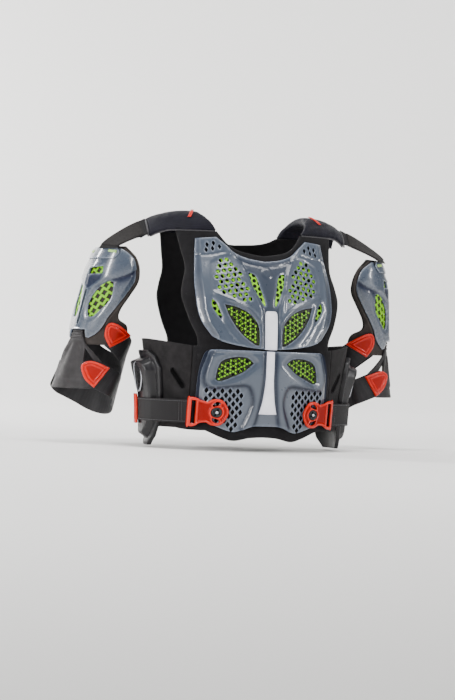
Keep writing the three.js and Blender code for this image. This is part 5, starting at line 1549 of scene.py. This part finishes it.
def build_links(tape, webbing):
    for name, first, last, width, low, high in LINK_LAYERS:
        def place(along, across, through, first=first, last=last, width=width, low=low, high=high):
            ripple = 0.25 * np.sin(along * 9) * (high > 2)
            level = low + through * (high - low) + ripple
            return on_link(first + (last - first) * along, (across - 0.5) * width, level)

        strip = slab(f"{name}_left", place, 48 * (last - first), width, high - low, step=2.5)
        nodes = ["shoulder_link"] if name == "link_base" else []
        for piece in finished_pair(strip, webbing if nodes else tape, "textile", *nodes):
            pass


# Arm guards

def arm_outline(rows, top, height, step=2.5):
    """The outline of a piece of the arm guard from rows of height share and spread in degrees."""
    right = [(spread * ARM_STEP, -top - down * height) for down, spread in rows]
    left = [(-x, z) for x, z in reversed(right)]
    return smooth_outline([[left[-1], right[0]], right, [right[-1], left[0]], left], step)


ARM_SHELL_ROWS = [(0, 42), (0.05, 58), (0.11, 71), (0.22, 79), (0.35, 81), (0.5, 71), (0.65, 59), (0.76, 50),
                  (0.86, 45), (0.94, 37), (1, 24)]
ARM_PADDING_ROWS = [(0, 50), (0.07, 70), (0.14, 82), (0.24, 90), (0.36, 92), (0.5, 81), (0.64, 70),
                    (0.73, 72), (0.8, 94), (0.92, 98), (1, 62)]
FLAP_ROWS = [(0, 11), (0.22, 22), (0.44, 48), (0.64, 68), (0.82, 62), (0.96, 56), (1, 48)]
CAP_ROWS = [(0, 32), (0.45, 40), (1, 34)]
ARM_TOP, ARM_HEIGHT = 54, 147
ARM_LEAF = [
    [(44, 0.37), (46, 0.56), (25, 0.755)],
    [(25, 0.755), (15, 0.75), (10, 0.61), (20, 0.44), (34, 0.37), (44, 0.37)],
]
ARM_TOP_VENT = [[(-9, 0.22), (20, 0.2)], [(20, 0.2), (22, 0.28)], [(22, 0.28), (-6, 0.29)],
                [(-6, 0.29), (-9, 0.22)]]
ARM_SPINE_SLOT = [[(-3, 0.46), (2, 0.46)], [(2, 0.46), (2, 0.84)], [(2, 0.84), (-3, 0.84)],
                  [(-3, 0.84), (-3, 0.46)]]
FLAP_TOP, FLAP_HEIGHT = 187, 96
NOTCH_TOP = -186.6
FLAP_WINDOW = [[(26, 0.32), (46, 0.52)], [(46, 0.52), (29, 0.54)], [(29, 0.54), (26, 0.32)]]


def on_guard(runs, flip=1, top=ARM_TOP, height=ARM_HEIGHT, step=2.0):
    """Runs given in degrees and a share of the guard's height, as flat millimetres."""
    return smooth_outline([[(flip * a * ARM_STEP, -top - d * height) for a, d in run] for run in runs], step)


ARM_BROW = ([0, 20, 42, 60, 76], [-120, -113, -102, -96, -87])
VENT_HOLLOW = [(-7, -96), (20, -95), (19, -104), (2, -119), (-6, -112)]


def brow_hollow(flat):
    """The hollow under the brow that sweeps forward over each leaf vent: sharp above, fading below."""
    across = np.abs(flat[:, 0])
    below = np.interp(across, *ARM_BROW) - flat[:, 1]
    return ramp(below / 2) * np.exp(-np.clip(below - 5, 0, None) / 9) * ramp((across - 12) / 8)


def arm_face(flat):
    """Levels of the arm guard: a spine, a brow over hollows, an edge rolled down and dished vents."""
    inset = depth_inside(flat, arm_outline(ARM_SHELL_ROWS, ARM_TOP, ARM_HEIGHT, 6))
    below = np.clip((-flat[:, 1] - 76) / 12, 0, 1)
    spine = 2.6 * np.clip(1 - np.abs(flat[:, 0]) / 15, 0, 1) * below
    bevel = 3.0 * np.clip(1 - inset / 10, 0, 1)
    leaves = [on_guard(ARM_LEAF, flip, step=5) for flip in (1, -1)]
    vents = sum(1.6 * dish(flat, leaf, 7) for leaf in leaves) + dish(flat, np.array(VENT_HOLLOW, float), 3)
    return ARM_SHELL_FACE + 0.6 + spine - bevel - vents - 2.5 * brow_hollow(flat)


def arm_shade(flat):
    """Painted shade on the arm guard: in its hollows and round its vents."""
    leaves = [on_guard(ARM_LEAF, flip, step=5) for flip in (1, -1)]
    vents = sum(0.5 * dish(flat, leaf, 5) for leaf in leaves)
    top_vent = 0.8 * dish(flat, np.array(VENT_HOLLOW, float), 1.5)
    return np.clip(0.9 * brow_hollow(flat) + vents + top_vent, 0, 1)


def flap_seat(z):
    return ARM_LINER_SEAT + 24 * np.clip((-z - 211) / 283, 0, None)


def flap_face(flat):
    """Levels of the lower flap: long flutes, a ribbed neck and a thick hem."""
    outline = arm_outline(FLAP_ROWS, FLAP_TOP, FLAP_HEIGHT, 6)
    inset = depth_inside(flat, outline)
    down = (-flat[:, 1] - FLAP_TOP) / FLAP_HEIGHT
    width = np.interp(down, [row[0] for row in FLAP_ROWS], [row[1] * ARM_STEP for row in FLAP_ROWS])
    across = flat[:, 0] / width
    flutes = 1.3 * np.cos(across * 2 * math.pi * 1.5) * ramp((down - 0.2) / 0.1) * ramp((0.86 - down) / 0.1)
    neck = 0.9 * np.sin(down * 2 * math.pi / 0.055) * ramp((0.18 - down) / 0.03)
    hem = 0.8 * np.exp(-((inset - 2.4) / 1.6) ** 2)
    seam = 0.7 * np.exp(-((down - 0.83) / 0.012) ** 2)
    return flap_seat(flat[:, 1]) + 3.2 + flutes + neck + hem - seam


def build_arm_padding(jersey, piping):
    outline = arm_outline(ARM_PADDING_ROWS, 50, 161)
    plate_edge = arm_outline(ARM_SHELL_ROWS, ARM_TOP, ARM_HEIGHT, 6)

    def foam_face(flat):
        """The foam swells into a border round the plate, down to where the bands start."""
        border = np.exp(-((depth_inside(flat, plate_edge) + 4.2) / 2.8) ** 2)
        return ARM_PADDING - 0.3 + 2.8 * border * ramp((flat[:, 1] + 180) / 10) * ramp((-58 - flat[:, 1]) / 8)

    foam = moulding("arm_foam_left", on_arm, outline, (), foam_face, 0.0, spacing=3, edge=2.2, soft=True)
    for piece in finished_pair(foam, jersey, "foam", "arm_padding"):
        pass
    line = inner_ring(resampled(outline, 2), 1.4)
    line = line[line[:, 1] > -168]
    line = line[np.argsort(np.arctan2(line[:, 0], line[:, 1] + 130))]
    cord = tube("arm_piping_left", [lay(on_arm, evenly(line, 2), ARM_PADDING - 0.2)], 0.9)
    finished_pair(cord, piping, "foam")


def arm_plate_outline():
    """The arm plate's edge, with a notch at its lower end for the neck of the flap."""
    half = (FLAP_ROWS[0][1] + 6) * ARM_STEP
    wide = half + 8 * ARM_STEP
    notch = np.array([(-wide, -203), (-half, NOTCH_TOP), (half, NOTCH_TOP), (wide, -203)])
    shell = arm_outline(ARM_SHELL_ROWS, ARM_TOP, ARM_HEIGHT)
    corners = [(-19.5, -199), (-16.3, NOTCH_TOP), (16.3, NOTCH_TOP), (19.5, -199)]
    shell = np.vstack([shell[~is_inside(shell, notch)], corners])
    return shell[np.argsort(np.arctan2(shell[:, 0], shell[:, 1] + 120))]


def build_arm_plate(nylon, bright):
    leaves = [on_guard(ARM_LEAF, flip) for flip in (1, -1)]
    holes = [*leaves, on_guard(ARM_TOP_VENT), on_guard(ARM_SPINE_SLOT)]
    ridges = [[(0, -78), (0, -184)], [(24, -84), (24, -180)], [(-24, -84), (-24, -180)]]
    plate = moulding("arm_plate_left", on_arm, arm_plate_outline(), holes, arm_face,
                     lambda flat: np.clip(arm_face(flat) - 2.6, 6.6, ARM_SHELL_SEAT), spacing=2.2, edge=0.8,
                     lines=ridges, shade=arm_shade)
    finished_pair(plate, nylon, "shell", "arm_shell")
    rows = [(down, spread - 11) for down, spread in ARM_SHELL_ROWS[2:9]]
    bright_net = net("arm_net_left", on_arm, arm_outline(rows, ARM_TOP, ARM_HEIGHT),
                     lambda flat: np.clip(arm_face(flat) - 4.2, 6.2, ARM_LINER_SEAT), star_hole, 8.4, 12)
    finished_pair(bright_net, bright, "bright", "arm_vent_liner")


def build_arm_cap(nylon, pale_green):
    seat = ARM_SHELL_FACE + 1.3
    plate = moulding("arm_cap_plate_left", on_arm, arm_outline(CAP_ROWS, 52, 19), (), seat + 1.4, seat,
                     spacing=2.5, edge=0.7)
    finished_pair(plate, nylon, "shell", "arm_cap")
    for label, low, high in (("front", 18, 33), ("back", -33, -18)):
        corners = np.array([(low, -56), (high, -57.5), (high * 1.02, -62), (low, -60)])
        trim = moulding(f"cap_trim_{label}_left", on_arm, corners, (), seat + 2.1, seat + 1.3, spacing=2,
                        edge=0.35)
        finished_pair(trim, pale_green, "bright")


def build_arm_flap(rubber, silver):
    windows = [on_guard(FLAP_WINDOW, flip, FLAP_TOP, FLAP_HEIGHT) for flip in (1, -1)]
    flap = moulding("arm_flap_plate_left", on_arm, arm_outline(FLAP_ROWS, FLAP_TOP, FLAP_HEIGHT), windows,
                    flap_face, lambda flat: flap_seat(flat[:, 1]), spacing=2.4, edge=1.3)
    finished_pair(flap, rubber, "flap", "arm_flap")
    pin_line = smooth_run([(-7, -184.5), (7, -184.5)], 1.5)
    pin = tube("hinge_pin_left", [lay(on_arm, pin_line, ARM_SHELL_FACE + 2.2)], 1.5)
    finished_pair(pin, silver, "inlay")


ANCHORS = [
    ("upper_anchor", 209.4, [(51, 0.74), (58, 0.92), (75, 0.79), (101.5, 0.4), (66, -0.14), (53, 0.32)],
     lambda z: 0 * z + 9.8),
    ("lower_anchor", 276.3, [(30, 0.78), (36, 0.99), (48, 1), (71.5, 0.75), (55.5, -0.12), (40, 0.25)],
     lambda z: flap_seat(z) + 8.2),
]
BANDS = [
    ("upper_band", 209.4, 1.05, 92, 56, 24.7, lambda z: 0 * z + 7.0),
    ("lower_band", 276.3, 0.74, 62, 45, 22.0, lambda z: flap_seat(z) + 5.44),
]
BAND_WIDTH, BAND_THICKNESS = 38, 1.8


def build_anchors(red):
    for name, drop, points, seat in ANCHORS:
        corners = [(a * ARM_STEP, up * BAND_WIDTH - drop) for a, up in points]
        outline = smooth_outline([[*corners[4:], *corners[:4]], corners[3:5]], 1.6)

        def relief(flat, outline=outline):
            inset = depth_inside(flat, outline)
            return np.exp(-((inset - 1.8) / 1.4) ** 2) + np.exp(-((inset - 6.2) / 1.1) ** 2)

        def face(flat, relief=relief, seat=seat):
            return seat(flat[:, 1]) + 2.9 + 1.6 * relief(flat)

        # Painted shade between the raised rims
        def shade(flat, relief=relief):
            return 0.6 * np.clip(1 - 1.6 * relief(flat), 0, 1)

        holder = moulding(f"{name}_plate_left", on_arm, outline, (), face,
                          lambda flat, seat=seat: seat(flat[:, 1]), spacing=1.6, edge=0.9, shade=shade)
        finished_pair(holder, red, "red", name)


def build_bands(elastic):
    for name, drop, dip, upper, lower, half, seat in BANDS:
        def place(across, along, through, drop=drop, dip=dip, upper=upper, lower=lower, half=half, seat=seat):
            """Round the arm, at the anchor's level in front of it and close to the arm behind."""
            start = lower + (upper - lower) * along
            angle = start + (360 - 2 * start) * across
            z = -drop + dip * BAND_WIDTH * np.cos(np.radians(angle)) + (2 * along - 1) * half
            near = np.clip((np.minimum(across, 1 - across) - 0.13) / 0.13, 0, 1)
            level = seat(z) + (0.4 - seat(z)) * near
            return on_arm(angle * ARM_STEP, z, level + through * BAND_THICKNESS)

        band = slab(f"{name}_loop_left", place, 190, BAND_WIDTH, BAND_THICKNESS, step=3)
        for piece in finished_pair(band, elastic, "textile", name):
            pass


# The whole part

def build_part():
    pale_green = bright_elastomer("pale_green_trim", "#a8d070", "#7ea055")
    flap_rubber = soft_rubber("warm_grey_flap_rubber", "#1e1c1d", "#302d2f", 0.55, 0.25)
    slate = moulded_nylon("slate_moulded_nylon", "#39424f", "#171c29", "#8a94a6")
    arm_slate = moulded_nylon("arm_slate_nylon", "#3c4552", "#1a1e31", "#a3adbb", 0.26)
    arm_jersey = foam_jersey("arm_foam_jersey", "#2a2625", "#433e3b")
    binding = foam_jersey("black_edge_binding", "#08080a", "#1b191b")
    lime = bright_elastomer("lime_elastomer_net", "#aef200", "#62a002")
    smoky = soft_rubber("smoky_net_film", "#15180f", "#2a2f1c", 0.5, 0.2)
    black_moulding = soft_rubber("black_moulded_rubber", "#060508", "#141318", 0.42)
    side_rubber = soft_rubber("satin_side_guard_rubber", "#09080b", "#16151a", 0.4)
    silver = satin_metal_paint()
    thread = spun_thread("grey_bonded_thread", "#28272a", "#454348")
    red = moulded_nylon("red_orange_moulded_nylon", "#c01200", "#5c0400", "#e84020", 0.34, 0.35)
    build_padding(thread)
    build_chest_plate(slate)
    build_belly_plate(slate)
    build_strips()
    build_front_nets(lime, smoky, black_moulding)
    build_back_plates(slate)
    build_side_guards(side_rubber, black_moulding, silver)
    build_wraps(binding)
    build_straps(woven_webbing("charcoal_nylon_webbing", "#131213", "#292729"), thread)
    build_side_clips(red)
    build_buckles(red, black_moulding, silver)
    build_shoulders(navy_twill(), spun_thread("charcoal_piping", "#1b1a1d", "#3a383d"), red)
    build_links(brushed_loop("charcoal_loop_tape", "#151415", "#302d2c"),
                woven_webbing("link_nylon_webbing", "#131213", "#272528", 2.0))
    build_arm_padding(arm_jersey, binding)
    build_arm_plate(arm_slate, lime)
    build_arm_cap(arm_slate, pale_green)
    build_arm_flap(flap_rubber, silver)
    build_anchors(red)
    build_bands(satin_elastic())


add_camera()
add_studio()
build_part()
